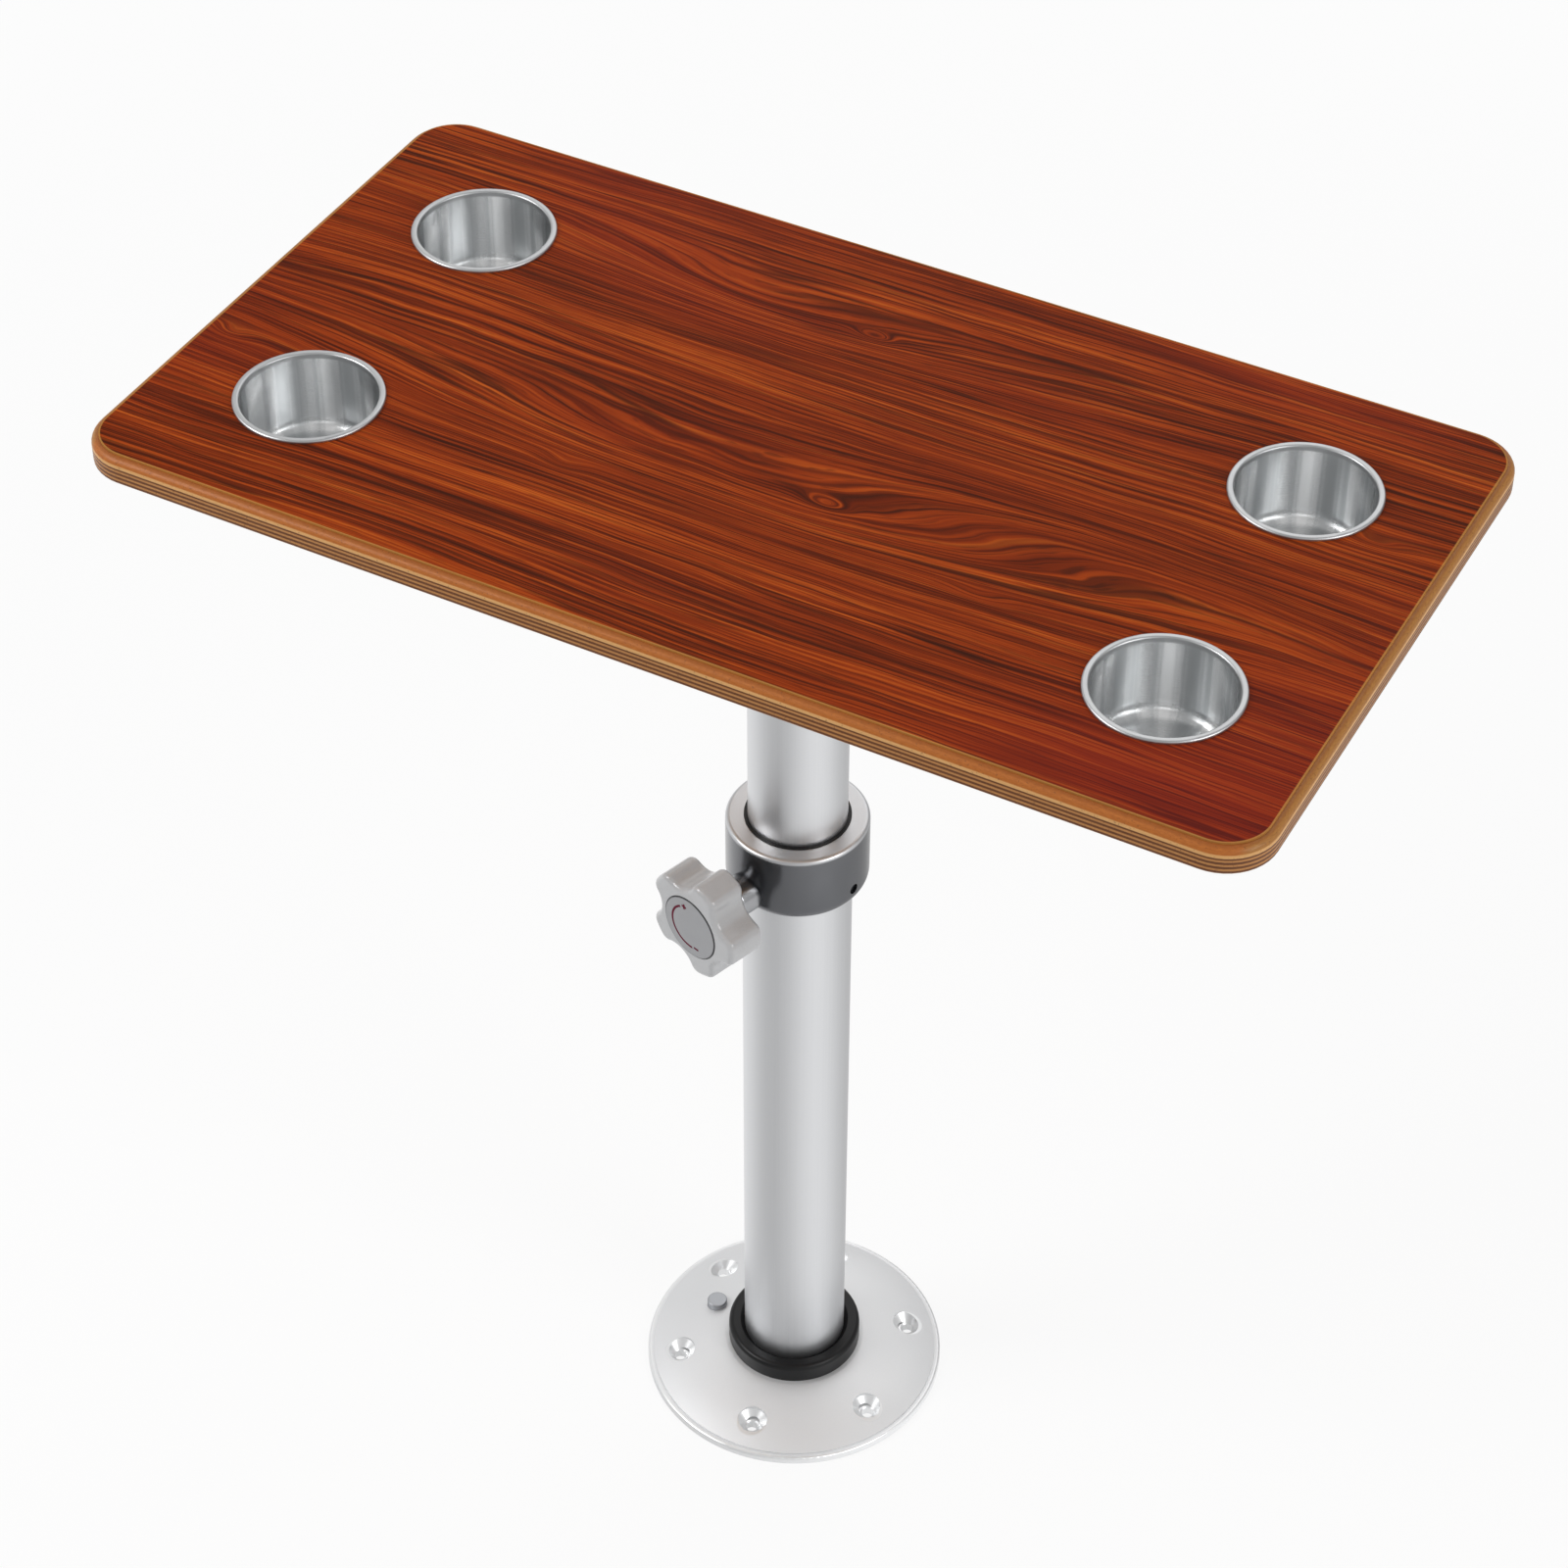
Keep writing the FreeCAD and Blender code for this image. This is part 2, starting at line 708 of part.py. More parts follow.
def collar():
    """Cast clamp collar: socket for the lower tube, boss for the stud, grub holes."""
    body = add_body("collar")
    sketch = upright_sketch(body, "collar_profile")
    socket = size.lower_tube_radius + size.seat_clearance
    bore = size.collar_bore_radius
    outline(sketch, [
        (socket, collar_bottom),
        (size.collar_radius, collar_bottom),
        (size.collar_radius, collar_top),
        (bore, collar_top),
        (bore, lower_tube_top),
        (socket, lower_tube_top),
    ])
    turned(body, "collar_casting", sketch)
    rounded(body, "collar_foot", size.collar_foot_round, ring_at(size.collar_radius, collar_bottom))
    rounded(body, "collar_brow", size.collar_top_round, ring_at(size.collar_radius, collar_top))
    boss = upright_sketch(body, "boss_profile", size.knob_angle)
    start = (socket + size.collar_radius) / 2
    axis_line(boss, (start, knob_height), (size.boss_reach, knob_height))
    outline(boss, [
        (start, knob_height),
        (size.boss_reach, knob_height),
        (size.boss_reach, knob_height + size.boss_radius - size.boss_blend),
        (size.boss_reach - size.boss_blend, knob_height + size.boss_radius, -size.boss_blend),
        (start, knob_height + size.boss_radius),
    ])
    turned(body, "stud_boss", boss, "Axis0")
    thread = upright_sketch(body, "thread_profile", size.knob_angle)
    reach = size.boss_reach + size.boss_blend
    axis_line(thread, (size.upper_tube_radius, knob_height), (reach, knob_height))
    outline(thread, [
        (size.upper_tube_radius, knob_height),
        (reach, knob_height),
        (reach, knob_height + thread_radius),
        (size.upper_tube_radius, knob_height + thread_radius),
    ])
    turned(body, "stud_thread", thread, "Axis0", cuts=True)
    grub = upright_sketch(body, "grub_profile", size.grub_angle)
    grub_hole(grub, knob_height, size.upper_tube_radius, size.collar_radius + size.boss_blend)
    hole = turned(body, "grub_hole", grub, "Axis0", cuts=True)
    around(body, "grub_holes", hole, size.grub_count)


def collar_bush():
    """Black liner between the tubes, with a window for the clamp shoe."""
    body = add_body("collar_bush")
    sketch = upright_sketch(body, "liner_profile")
    flange = size.collar_bore_radius - size.seat_clearance
    tail = lower_tube_top - size.collar_bush_tail
    outline(sketch, [
        (slide_radius, tail),
        (bush_radius, tail),
        (bush_radius, lower_tube_top),
        (flange, lower_tube_top),
        (flange, collar_top + size.collar_bush_lip),
        (slide_radius, collar_top + size.collar_bush_lip),
    ])
    turned(body, "liner_sleeve", sketch)
    window = upright_sketch(body, "liner_window_profile", size.knob_angle)
    shoe_cut(window)
    turned(body, "liner_window", window, "Axis0", cuts=True)


def shoe_cut(sketch):
    """Rectangle that turns into the shoe's round window."""
    start = size.upper_tube_radius - size.upper_tube_wall
    end = size.lower_tube_radius + size.lower_tube_wall
    axis_line(sketch, (start, knob_height), (end, knob_height))
    outline(sketch, [
        (start, knob_height),
        (end, knob_height),
        (end, knob_height + size.shoe_window),
        (start, knob_height + size.shoe_window),
    ])


def collar_screws():
    """Two grub screws that hold the collar on the lower tube."""
    body = add_body("collar_screws")
    screw, drive = grub_screw(body, "collar_grub", size.lower_tube_radius, knob_height, size.grub_angle)
    pattern = around(body, "collar_grubs", screw, size.grub_count)
    pattern.Originals = [screw, drive]
    doc.recompute()


def clamp_shoe():
    """Round pad with a hollow face that fits the upper tube."""
    body = add_body("clamp_shoe")
    sketch = upright_sketch(body, "shoe_profile", size.knob_angle)
    start = size.upper_tube_radius - size.upper_tube_wall
    axis_line(sketch, (start, knob_height), (shoe_end, knob_height))
    outline(sketch, [
        (start, knob_height),
        (shoe_end, knob_height),
        (shoe_end, knob_height + shank_radius),
        (start, knob_height + shank_radius),
    ])
    turned(body, "shoe_blank", sketch, "Axis0")
    hollow = flat_sketch(body, "shoe_hollow_circle", knob_height)
    circle(hollow, ZERO, ZERO, slide_radius)
    raised(body, "shoe_hollow", hollow, size.stud_radius * 4, cuts=True, middle=True)


def knob_placement():
    """Turns local Z to the knob's direction, with the origin on the column's axis."""
    lean = FreeCAD.Rotation(FreeCAD.Vector(0, 1, 0), 90)
    turn = FreeCAD.Rotation(FreeCAD.Vector(0, 0, 1), size.knob_angle.now)
    return FreeCAD.Placement(FreeCAD.Vector(0, 0, knob_height.now), turn.multiply(lean))


def place_on_knob_axis(body):
    """Put a body drawn along local Z on the knob's axis."""
    body.Placement = knob_placement()
    body.setExpression("Placement.Base.z", knob_height.text)


def knob_stud():
    """Threaded stud with a hexagon head inside the knob."""
    body = add_body("knob_stud")
    head_bottom = cap_floor - size.stud_head_height
    shank = flat_sketch(body, "stud_circle", shoe_end)
    circle(shank, ZERO, ZERO, shank_radius)
    raised(body, "stud_shank", shank, head_bottom - shoe_end)
    rounded(body, "stud_tip", size.stud_tip, level_at(shoe_end), "PartDesign::Chamfer")
    head = flat_sketch(body, "stud_hexagon", head_bottom)
    hexagon(head, size.stud_head_flat)
    raised(body, "stud_head", head, size.stud_head_height)
    place_on_knob_axis(body)


def hexagon(sketch, flat):
    """Regular hexagon with the given distance from its centre to a flat."""
    corner = flat * (2 / math.sqrt(3))
    side = corner / 2
    outline(sketch, [
        (corner, ZERO),
        (side, flat),
        (-side, flat),
        (-corner, ZERO),
        (-side, -flat),
        (side, -flat),
    ])


def knob_body():
    """Five-lobe knob: scalloped blank, rounded lobes, neck, seats for stud and cap."""
    body = add_body("knob_body")
    blank = flat_sketch(body, "knob_circle", knob_seat)
    circle(blank, ZERO, ZERO, size.knob_radius)
    raised(body, "knob_blank", blank, size.knob_thickness)
    valley = flat_sketch(body, "valley_circle", knob_front, size.knob_valley_turn)
    circle(valley, size.knob_valley_centre, ZERO, size.knob_valley_radius)
    cut = raised(body, "knob_valley", valley, size.knob_thickness, cuts=True)
    around(body, "knob_valleys", cut, size.knob_lobes)
    rounded(body, "knob_lobe_edges", size.knob_lobe_round, upright)
    rounded(body, "knob_front_round", size.knob_edge_round, level_at(knob_front))
    rounded(body, "knob_back_round", size.knob_edge_round, level_at(knob_seat))
    neck = flat_sketch(body, "neck_circle", knob_back)
    circle(neck, ZERO, ZERO, size.knob_neck_radius)
    raised(body, "knob_neck", neck, size.knob_neck)
    seat = flat_sketch(body, "cap_seat_circle", knob_front)
    circle(seat, ZERO, ZERO, size.knob_cap_radius + size.knob_cap_seam)
    raised(body, "cap_seat", seat, size.knob_cap_sink, cuts=True)
    head = flat_sketch(body, "head_seat_hexagon", cap_floor)
    hexagon(head, size.stud_head_flat)
    raised(body, "head_seat", head, size.stud_head_height, cuts=True)
    bore = flat_sketch(body, "shank_seat_circle", cap_floor)
    circle(bore, ZERO, ZERO, shank_radius)
    raised(body, "shank_seat", bore, cap_floor - knob_back, cuts=True)
    place_on_knob_axis(body)


def knob_cap():
    """Disc that covers the stud's head."""
    body = add_body("knob_cap")
    disc = flat_sketch(body, "cap_circle", cap_floor)
    circle(disc, ZERO, ZERO, size.knob_cap_radius)
    raised(body, "cap_disc", disc, size.knob_cap_thickness)
    top = cap_floor + size.knob_cap_thickness
    rounded(body, "cap_round", size.knob_cap_seam, level_at(top))
    place_on_knob_axis(body)


def lower_tube():
    """Anodised outer tube, with a window for the clamp shoe."""
    body = add_body("lower_tube")
    sketch = flat_sketch(body, "lower_tube_section", lower_tube_bottom)
    circle(sketch, ZERO, ZERO, size.lower_tube_radius)
    circle(sketch, ZERO, ZERO, lower_tube_bore)
    raised(body, "lower_tube_wall_pad", sketch, lower_tube_top - lower_tube_bottom)
    window = upright_sketch(body, "tube_window_profile", size.knob_angle)
    shoe_cut(window)
    turned(body, "tube_window", window, "Axis0", cuts=True)


def foot_plug():
    """Black foot: ring on the base, plug in the tube, spigot with bayonet lugs."""
    body = add_body("foot_plug")
    sketch = upright_sketch(body, "foot_profile")
    inner = size.spigot_radius - size.foot_plug_wall
    lug_top = size.socket_ledge - size.lug_clearance
    spigot_bottom = lug_top - size.lug_height
    tube_outer = size.lower_tube_radius + size.seat_clearance
    outline(sketch, [
        (inner, spigot_bottom),
        (size.spigot_radius, spigot_bottom),
        (size.spigot_radius, size.base_height),
        (size.ring_radius, size.base_height),
        (size.ring_radius, ring_top),
        (tube_outer + size.ring_bevel, ring_top),
        (tube_outer, ring_top - size.ring_bevel),
        (tube_outer, lower_tube_bottom),
        (bush_radius, lower_tube_bottom),
        (bush_radius, lower_tube_bottom + size.foot_plug_height),
        (inner, lower_tube_bottom + size.foot_plug_height),
    ])
    turned(body, "foot_turning", sketch)
    rounded(body, "ring_round_edge", size.ring_round, ring_at(size.ring_radius, ring_top))
    lug = upright_sketch(body, "lug_profile", size.lug_place)
    root = size.spigot_radius - size.foot_plug_wall / 2
    outline(lug, [
        (root, spigot_bottom),
        (size.lug_reach, spigot_bottom),
        (size.lug_reach, lug_top),
        (root, lug_top),
    ])
    first = turned(body, "bayonet_lug", lug, sweep=size.lug_angle)
    around(body, "bayonet_lugs", first, size.lug_count)


def base_plate():
    """Domed cast base, hollow and ribbed below, with a bayonet socket and screw holes."""
    body = add_body("base_plate")
    sketch = upright_sketch(body, "dome_profile")
    rim_inner = size.base_radius - size.base_rim_width
    roof_top = size.base_height - size.base_roof - size.base_rim_round
    outline(sketch, [
        (socket_radius, ZERO),
        (hub_outer, ZERO),
        (hub_outer, roof_top),
        (rim_inner, size.base_roof, size.dome_radius),
        (rim_inner, ZERO),
        (size.base_radius, ZERO),
        (size.base_radius, size.base_rim_height - size.base_rim_round),
        (size.base_radius - size.base_rim_round, size.base_rim_height, -size.base_rim_round),
        (size.base_radius - size.base_lip, size.base_rim_height),
        (size.base_radius - size.base_lip, size.base_rim_height + size.base_step),
        (size.base_top_radius, size.base_height, -size.dome_radius),
        (socket_radius, size.base_height),
    ])
    turned(body, "dome_casting", sketch)
    screw_bosses(body, rim_inner)
    ribs(body, rim_inner)
    button_seat(body)
    socket_cuts(body)
    keeper_holes(body)


def screw_bosses(body, rim_inner):
    """Bosses from the floor to the dome, with countersunk holes through them."""
    centre = size.base_hole_circle / 2
    boss = upright_sketch(body, "base_boss_profile", size.base_hole_phase)
    axis_line(boss, (centre, ZERO), (centre, size.base_boss_height))
    outline(boss, [
        (centre, ZERO),
        (centre + size.base_boss_radius, ZERO),
        (centre + size.base_boss_radius, size.base_boss_height),
        (centre, size.base_boss_height),
    ])
    post = turned(body, "base_boss", boss, "Axis0")
    around(body, "base_bosses", post, size.base_holes)
    hole = upright_sketch(body, "base_hole_profile", size.base_hole_phase)
    sink = size.base_sink_floor + size.base_sink_radius - size.base_hole_radius
    axis_line(hole, (centre, ZERO), (centre, size.base_height))
    outline(hole, [
        (centre, ZERO),
        (centre + size.base_hole_radius, ZERO),
        (centre + size.base_hole_radius, size.base_sink_floor),
        (centre + size.base_sink_radius, sink),
        (centre + size.base_sink_radius, size.base_height),
        (centre, size.base_height),
    ])
    cut = turned(body, "base_hole", hole, "Axis0", cuts=True)
    around(body, "base_hole_pattern", cut, size.base_holes)


def ribs(body, rim_inner):
    """Radial ribs between the bosses, left out beside the button."""
    start = size.base_hole_phase + size.rib_step / 2 - size.rib_step * 3
    rib = upright_sketch(body, "rib_profile", start)
    low = size.base_rim_round
    outline(rib, [
        (hub_outer - size.base_rim_round, low),
        (rim_inner + size.base_rim_round, low),
        (rim_inner + size.base_rim_round, size.base_roof + size.base_rim_round / 2),
        (hub_outer - size.base_rim_round, size.base_height - size.base_roof),
    ])
    web = raised(body, "base_rib", rib, size.rib_thickness, middle=True)
    around(body, "base_ribs", web, size.rib_count, size.rib_step)


def button_seat(body):
    """Guide boss for the release button, its bore, and the slot for its pawl."""
    centre = size.button_place
    boss = upright_sketch(body, "guide_boss_profile", size.button_angle)
    roof = size.base_height - size.base_roof
    axis_line(boss, (centre, size.guide_boss_bottom), (centre, roof))
    outline(boss, [
        (centre, size.guide_boss_bottom),
        (centre + size.guide_boss_radius, size.guide_boss_bottom),
        (centre + size.guide_boss_radius, size.guide_boss_bottom + size.base_rim_round),
        (centre, roof),
    ])
    turned(body, "guide_boss", boss, "Axis0")
    bore = upright_sketch(body, "button_bore_profile", size.button_angle)
    radius = size.button_radius + size.button_clearance
    relief = size.button_flange + size.pawl_slot_gap
    top = size.button_top + size.button_round
    axis_line(bore, (centre, ZERO), (centre, top))
    outline(bore, [
        (centre, ZERO),
        (centre + relief, ZERO),
        (centre + relief, size.guide_boss_bottom),
        (centre + radius, size.guide_boss_bottom),
        (centre + radius, top),
        (centre, top),
    ])
    turned(body, "button_bore", bore, "Axis0", cuts=True)
    slot = flat_sketch(body, "pawl_slot_outline", size.guide_boss_bottom, size.button_angle)
    start = size.spigot_radius
    length = centre - start
    width = size.pawl_width + size.pawl_slot_gap * 2
    rectangle(slot, length, width, ((centre + start) / 2, ZERO))
    raised(body, "pawl_slot", slot, size.guide_boss_bottom, cuts=True)


def socket_cuts(body):
    """Undercut for the bayonet lugs and the three ways in for them."""
    groove = upright_sketch(body, "lug_groove_profile")
    outline(groove, [
        (size.spigot_radius, ZERO),
        (groove_radius, ZERO),
        (groove_radius, size.socket_ledge),
        (size.spigot_radius, size.socket_ledge),
    ])
    turned(body, "lug_groove", groove, cuts=True)
    entry = upright_sketch(body, "lug_entry_profile", size.lug_place - size.rib_step)
    outline(entry, [
        (size.spigot_radius, size.socket_ledge / 2),
        (groove_radius, size.socket_ledge / 2),
        (groove_radius, size.base_height),
        (size.spigot_radius, size.base_height),
    ])
    way = turned(body, "lug_entry", entry, cuts=True, sweep=size.lug_angle + size.lug_entry_play)
    around(body, "lug_entries", way, size.lug_count)


def keeper_holes(body):
    """Two posts under the dome, drilled for the keeper's screws."""
    roof = size.base_height - size.base_roof * 2
    posts = flat_sketch(body, "keeper_post_circles", keeper_top, size.button_angle)
    for up in (-0.5, 0.5):
        circle(posts, size.button_place, size.keeper_screw_spacing * up, size.keeper_post_radius)
    raised(body, "keeper_posts", posts, roof - keeper_top)
    drills = flat_sketch(body, "keeper_drill_circles", keeper_top, size.button_angle)
    for up in (-0.5, 0.5):
        circle(drills, size.button_place, size.keeper_screw_spacing * up, size.keeper_screw_radius)
    raised(body, "keeper_drills", drills, size.keeper_screw_length - size.keeper_thickness, cuts=True)


def release_button():
    """Hollow button with a flange below the dome and a pawl to the bayonet lugs."""
    body = add_body("release_button")
    centre = size.button_place
    flange_top = size.button_bottom + size.button_flange_height
    sketch = upright_sketch(body, "button_profile", size.button_angle)
    axis_line(sketch, (centre, size.button_bottom), (centre, size.button_top))
    outline(sketch, [
        (centre + size.button_cavity, size.button_bottom),
        (centre + size.button_flange, size.button_bottom),
        (centre + size.button_flange, flange_top),
        (centre + size.button_radius, flange_top),
        (centre + size.button_radius, size.button_top - size.button_round),
        (centre + size.button_radius - size.button_round, size.button_top, -size.button_round),
        (centre, size.button_top),
        (centre, cavity_top),
        (centre + size.button_cavity, cavity_top),
    ])
    turned(body, "button_turning", sketch, "Axis0")
    pawl = flat_sketch(body, "pawl_outline", size.button_bottom, size.button_angle)
    end = centre - size.button_cavity - size.spring_wire
    rectangle(pawl, end - size.pawl_reach, size.pawl_width, ((end + size.pawl_reach) / 2, ZERO))
    raised(body, "pawl", pawl, size.button_flange_height)


def button_spring():
    """Compression spring from the keeper to the button's roof."""
    # a chain of half rings: each leans up to meet the next, and they share their end tangents
    spring = doc.addObject("Part::Feature", "button_spring")
    spring.Label = "button_spring"
    wire = size.spring_wire.now
    radius = size.spring_radius.now
    low = keeper_top.now + wire
    halves = int(size.spring_turns.now) * 2
    climb = (cavity_top.now - wire - low) / halves
    rings = []
    for number in range(halves):
        side = 1 if number % 2 == 0 else -1
        begin = FreeCAD.Vector(side * radius, 0, low + number * climb)
        middle = FreeCAD.Vector(0, 0, low + (number + 0.5) * climb)
        tangent = FreeCAD.Vector(0, side, 0)
        section = Part.Face(Part.Wire(Part.makeCircle(wire, begin, tangent)))
        rings.append(section.revolve(middle, (begin - middle).cross(tangent), 180))
    spring.Shape = rings[0].multiFuse(rings[1:]).Solids[0]
    angle = math.radians(size.button_angle.now)
    place = size.button_place.now
    spot = FreeCAD.Vector(place * math.cos(angle), place * math.sin(angle), 0)
    turn = FreeCAD.Rotation(FreeCAD.Vector(0, 0, 1), size.button_angle.now)
    spring.Placement = FreeCAD.Placement(spot, turn)


def button_keeper():
    """Stamped plate under the button, with two screw holes."""
    body = add_body("button_keeper")
    sketch = flat_sketch(body, "keeper_outline", size.keeper_bottom, size.button_angle)
    rectangle(sketch, size.keeper_width, size.keeper_length, (size.button_place, ZERO))
    raised(body, "keeper_blank", sketch, size.keeper_thickness)
    rounded(body, "keeper_corners", size.keeper_corner, upright)
    holes = flat_sketch(body, "keeper_hole_circles", keeper_top, size.button_angle)
    for up in (-0.5, 0.5):
        circle(holes, size.button_place, size.keeper_screw_spacing * up, size.keeper_screw_radius)
    raised(body, "keeper_screw_holes", holes, size.keeper_thickness, cuts=True)


def keeper_screws():
    """Two pan-head screws that hold the keeper to its posts."""
    body = add_body("keeper_screws")
    bottom = size.keeper_bottom - size.keeper_head_height
    heads = flat_sketch(body, "keeper_head_circles", bottom, size.button_angle)
    shanks = flat_sketch(body, "keeper_shank_circles", size.keeper_bottom, size.button_angle)
    for up in (-0.5, 0.5):
        across = size.keeper_screw_spacing * up
        circle(heads, size.button_place, across, size.keeper_screw_head)
        circle(shanks, size.button_place, across, size.keeper_screw_radius)
    raised(body, "keeper_heads", heads, size.keeper_head_height)
    raised(body, "keeper_shanks", shanks, size.keeper_screw_length)


def build():
    """Make every sub-part."""
    table_board()
    top_laminate()
    for number, (across, up) in enumerate([(-1, 1), (-1, -1), (1, 1), (1, -1)], start=1):
        cup_holder(number, across, up)
    mount_plate()
    mount_screws()
    socket_bush()
    hub_screw()
    upper_tube()
    guide_bush()
    collar()
    collar_bush()
    collar_screws()
    clamp_shoe()
    knob_stud()
    knob_body()
    knob_cap()
    lower_tube()
    foot_plug()
    base_plate()
    release_button()
    button_spring()
    button_keeper()
    keeper_screws()
    doc.recompute()


def sub_parts():
    """The finished sub-parts: every body and the swept spring."""
    return [item for item in doc.Objects
            if item.TypeId in ("PartDesign::Body", "Part::Feature")]


def check_and_write():
    """Check every object and shape, then write one file for each sub-part."""
    for item in doc.Objects:
        if "Invalid" in item.State or "Error" in item.State:
            raise RuntimeError("%s failed" % item.Label)
    for item in sub_parts():
        if item.Shape.isNull() or not item.Shape.isValid():
            raise RuntimeError("%s has no valid shape" % item.Label)
        solids = len(item.Shape.Solids)
        print("%-16s solids %d  volume %.0f" % (item.Label, solids, item.Shape.Volume))
        item.Shape.exportStep("parts/%s.step" % item.Label)


build()
check_and_write()
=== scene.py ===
# %% [markdown]
# # Adjustable camper table
# The table is a small wood-look top with four metal cup holders on a two-part tube column.
# A lobed knob clamps the column at any height, and a round plate carries it on the floor.
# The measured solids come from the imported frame. This lesson dresses them: it paints what
# is already right, and works out new surfaces where a finer shape is needed.

# %% Load the frame
import math
import bmesh
import bpy
import numpy as np
from mathutils import Matrix, Vector


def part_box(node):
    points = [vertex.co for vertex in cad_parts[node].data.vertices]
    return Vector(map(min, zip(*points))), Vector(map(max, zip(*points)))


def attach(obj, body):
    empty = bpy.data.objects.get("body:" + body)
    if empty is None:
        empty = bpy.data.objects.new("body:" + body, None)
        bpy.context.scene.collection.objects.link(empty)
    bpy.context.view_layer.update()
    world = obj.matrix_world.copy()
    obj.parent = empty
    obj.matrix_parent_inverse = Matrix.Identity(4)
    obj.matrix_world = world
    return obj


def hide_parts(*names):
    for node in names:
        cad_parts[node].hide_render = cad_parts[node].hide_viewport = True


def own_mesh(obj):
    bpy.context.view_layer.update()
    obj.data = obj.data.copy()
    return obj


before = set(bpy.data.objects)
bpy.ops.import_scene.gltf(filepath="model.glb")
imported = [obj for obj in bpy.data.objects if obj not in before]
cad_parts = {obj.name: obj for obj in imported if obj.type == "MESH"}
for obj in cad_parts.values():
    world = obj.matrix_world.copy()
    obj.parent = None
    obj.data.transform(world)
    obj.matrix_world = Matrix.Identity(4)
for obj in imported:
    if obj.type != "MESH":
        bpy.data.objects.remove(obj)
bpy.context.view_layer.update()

# %% [markdown]
# ## The camera
# A long lens from a little above one corner shows the top, one long edge and the column.
# Its place is given by where it stands, and its direction by a compass angle, an angle of
# elevation and a slight roll, so it can be read and changed without dragging it about.

# %% Place the camera
CAMERA_PLACE = (0.7233, -1.3665, 1.8619)
CAMERA_COMPASS = 28.17
CAMERA_ELEVATION = 42.12
CAMERA_ROLL = 0.22
FOCAL_PIXELS = 4000.0
FRAME_PIXELS = 1600.0
SENSOR = 36.0
FAR_LIMIT = 50.0


def camera_axes(compass, elevation, roll):
    """Right, up and back directions of a camera that stands at a compass angle.

    Back points from the target to the camera: (sin a cos e, -cos a cos e, sin e).
    Right is level, up completes the set, and the roll turns both about back."""
    a, e, r = map(math.radians, (compass, elevation, roll))
    back = Vector((math.sin(a) * math.cos(e), -math.cos(a) * math.cos(e), math.sin(e)))
    right = (-back).cross(Vector((0, 0, 1))).normalized()
    up = right.cross(-back)
    turned = (math.cos(r) * right + math.sin(r) * up, math.cos(r) * up - math.sin(r) * right)
    return turned[0], turned[1], back


def place_camera():
    """Make the scene's camera from the values above."""
    lens = bpy.data.cameras.new("table_camera")
    lens.sensor_width = SENSOR
    lens.lens = SENSOR * FOCAL_PIXELS / FRAME_PIXELS
    lens.clip_end = FAR_LIMIT
    camera = bpy.data.objects.new("table_camera", lens)
    bpy.context.scene.collection.objects.link(camera)
    right, up, back = camera_axes(CAMERA_COMPASS, CAMERA_ELEVATION, CAMERA_ROLL)
    turn = Matrix((right, up, back)).transposed().to_4x4()
    camera.matrix_world = Matrix.Translation(CAMERA_PLACE) @ turn
    bpy.context.scene.camera = camera
    return camera


camera = place_camera()
print("camera lens", round(camera.data.lens, 1))

# %% [markdown]
# ## Writing shaders as sums
# A node tree is easier to read as an expression. A Wire wraps one socket, and +, -, * and
# / on wires add Math nodes. Paint holds one material, and its node method adds any other
# node from its type, its settings and the values or wires of its sockets. A socket is
# called by its name, or by its number where several sockets of a node share one name. The
# four numbers below are the Mix node's factor, its two colours and its resulting colour.

# %% Wires and paints
MIX_FACTOR, MIX_FIRST, MIX_SECOND, MIX_RESULT = 0, 6, 7, 2


class Wire:
    """One output socket of a paint; arithmetic on it adds Math nodes."""

    def __init__(self, paint, socket):
        self.paint = paint
        self.socket = socket

    def math(self, operation, *others):
        """A Math node of this operation on this wire and the others."""
        values = dict(enumerate((self,) + others))
        return self.paint.node("ShaderNodeMath", {"operation": operation}, values)

    def __add__(self, other):
        return self.math("ADD", other)

    def __sub__(self, other):
        return self.math("SUBTRACT", other)

    def __mul__(self, other):
        return self.math("MULTIPLY", other)

    def __truediv__(self, other):
        return self.math("DIVIDE", other)

    def __rsub__(self, other):
        return self.paint.node("ShaderNodeMath", {"operation": "SUBTRACT"}, {0: other, 1: self})

    __radd__ = __add__
    __rmul__ = __mul__

    def between(self, low, high):
        """0 at low, 1 at high and a smooth step between; low may be the greater."""
        if low > high:
            return 1.0 - self.between(high, low)
        settings = {"interpolation_type": "SMOOTHSTEP"}
        values = {"Value": self, "From Min": low, "From Max": high}
        return self.paint.node("ShaderNodeMapRange", settings, values)

    def before(self, edge, start, full):
        """0 at start metres before an edge, 1 at full metres before it and beyond."""
        return self.between(edge - start, edge - full)


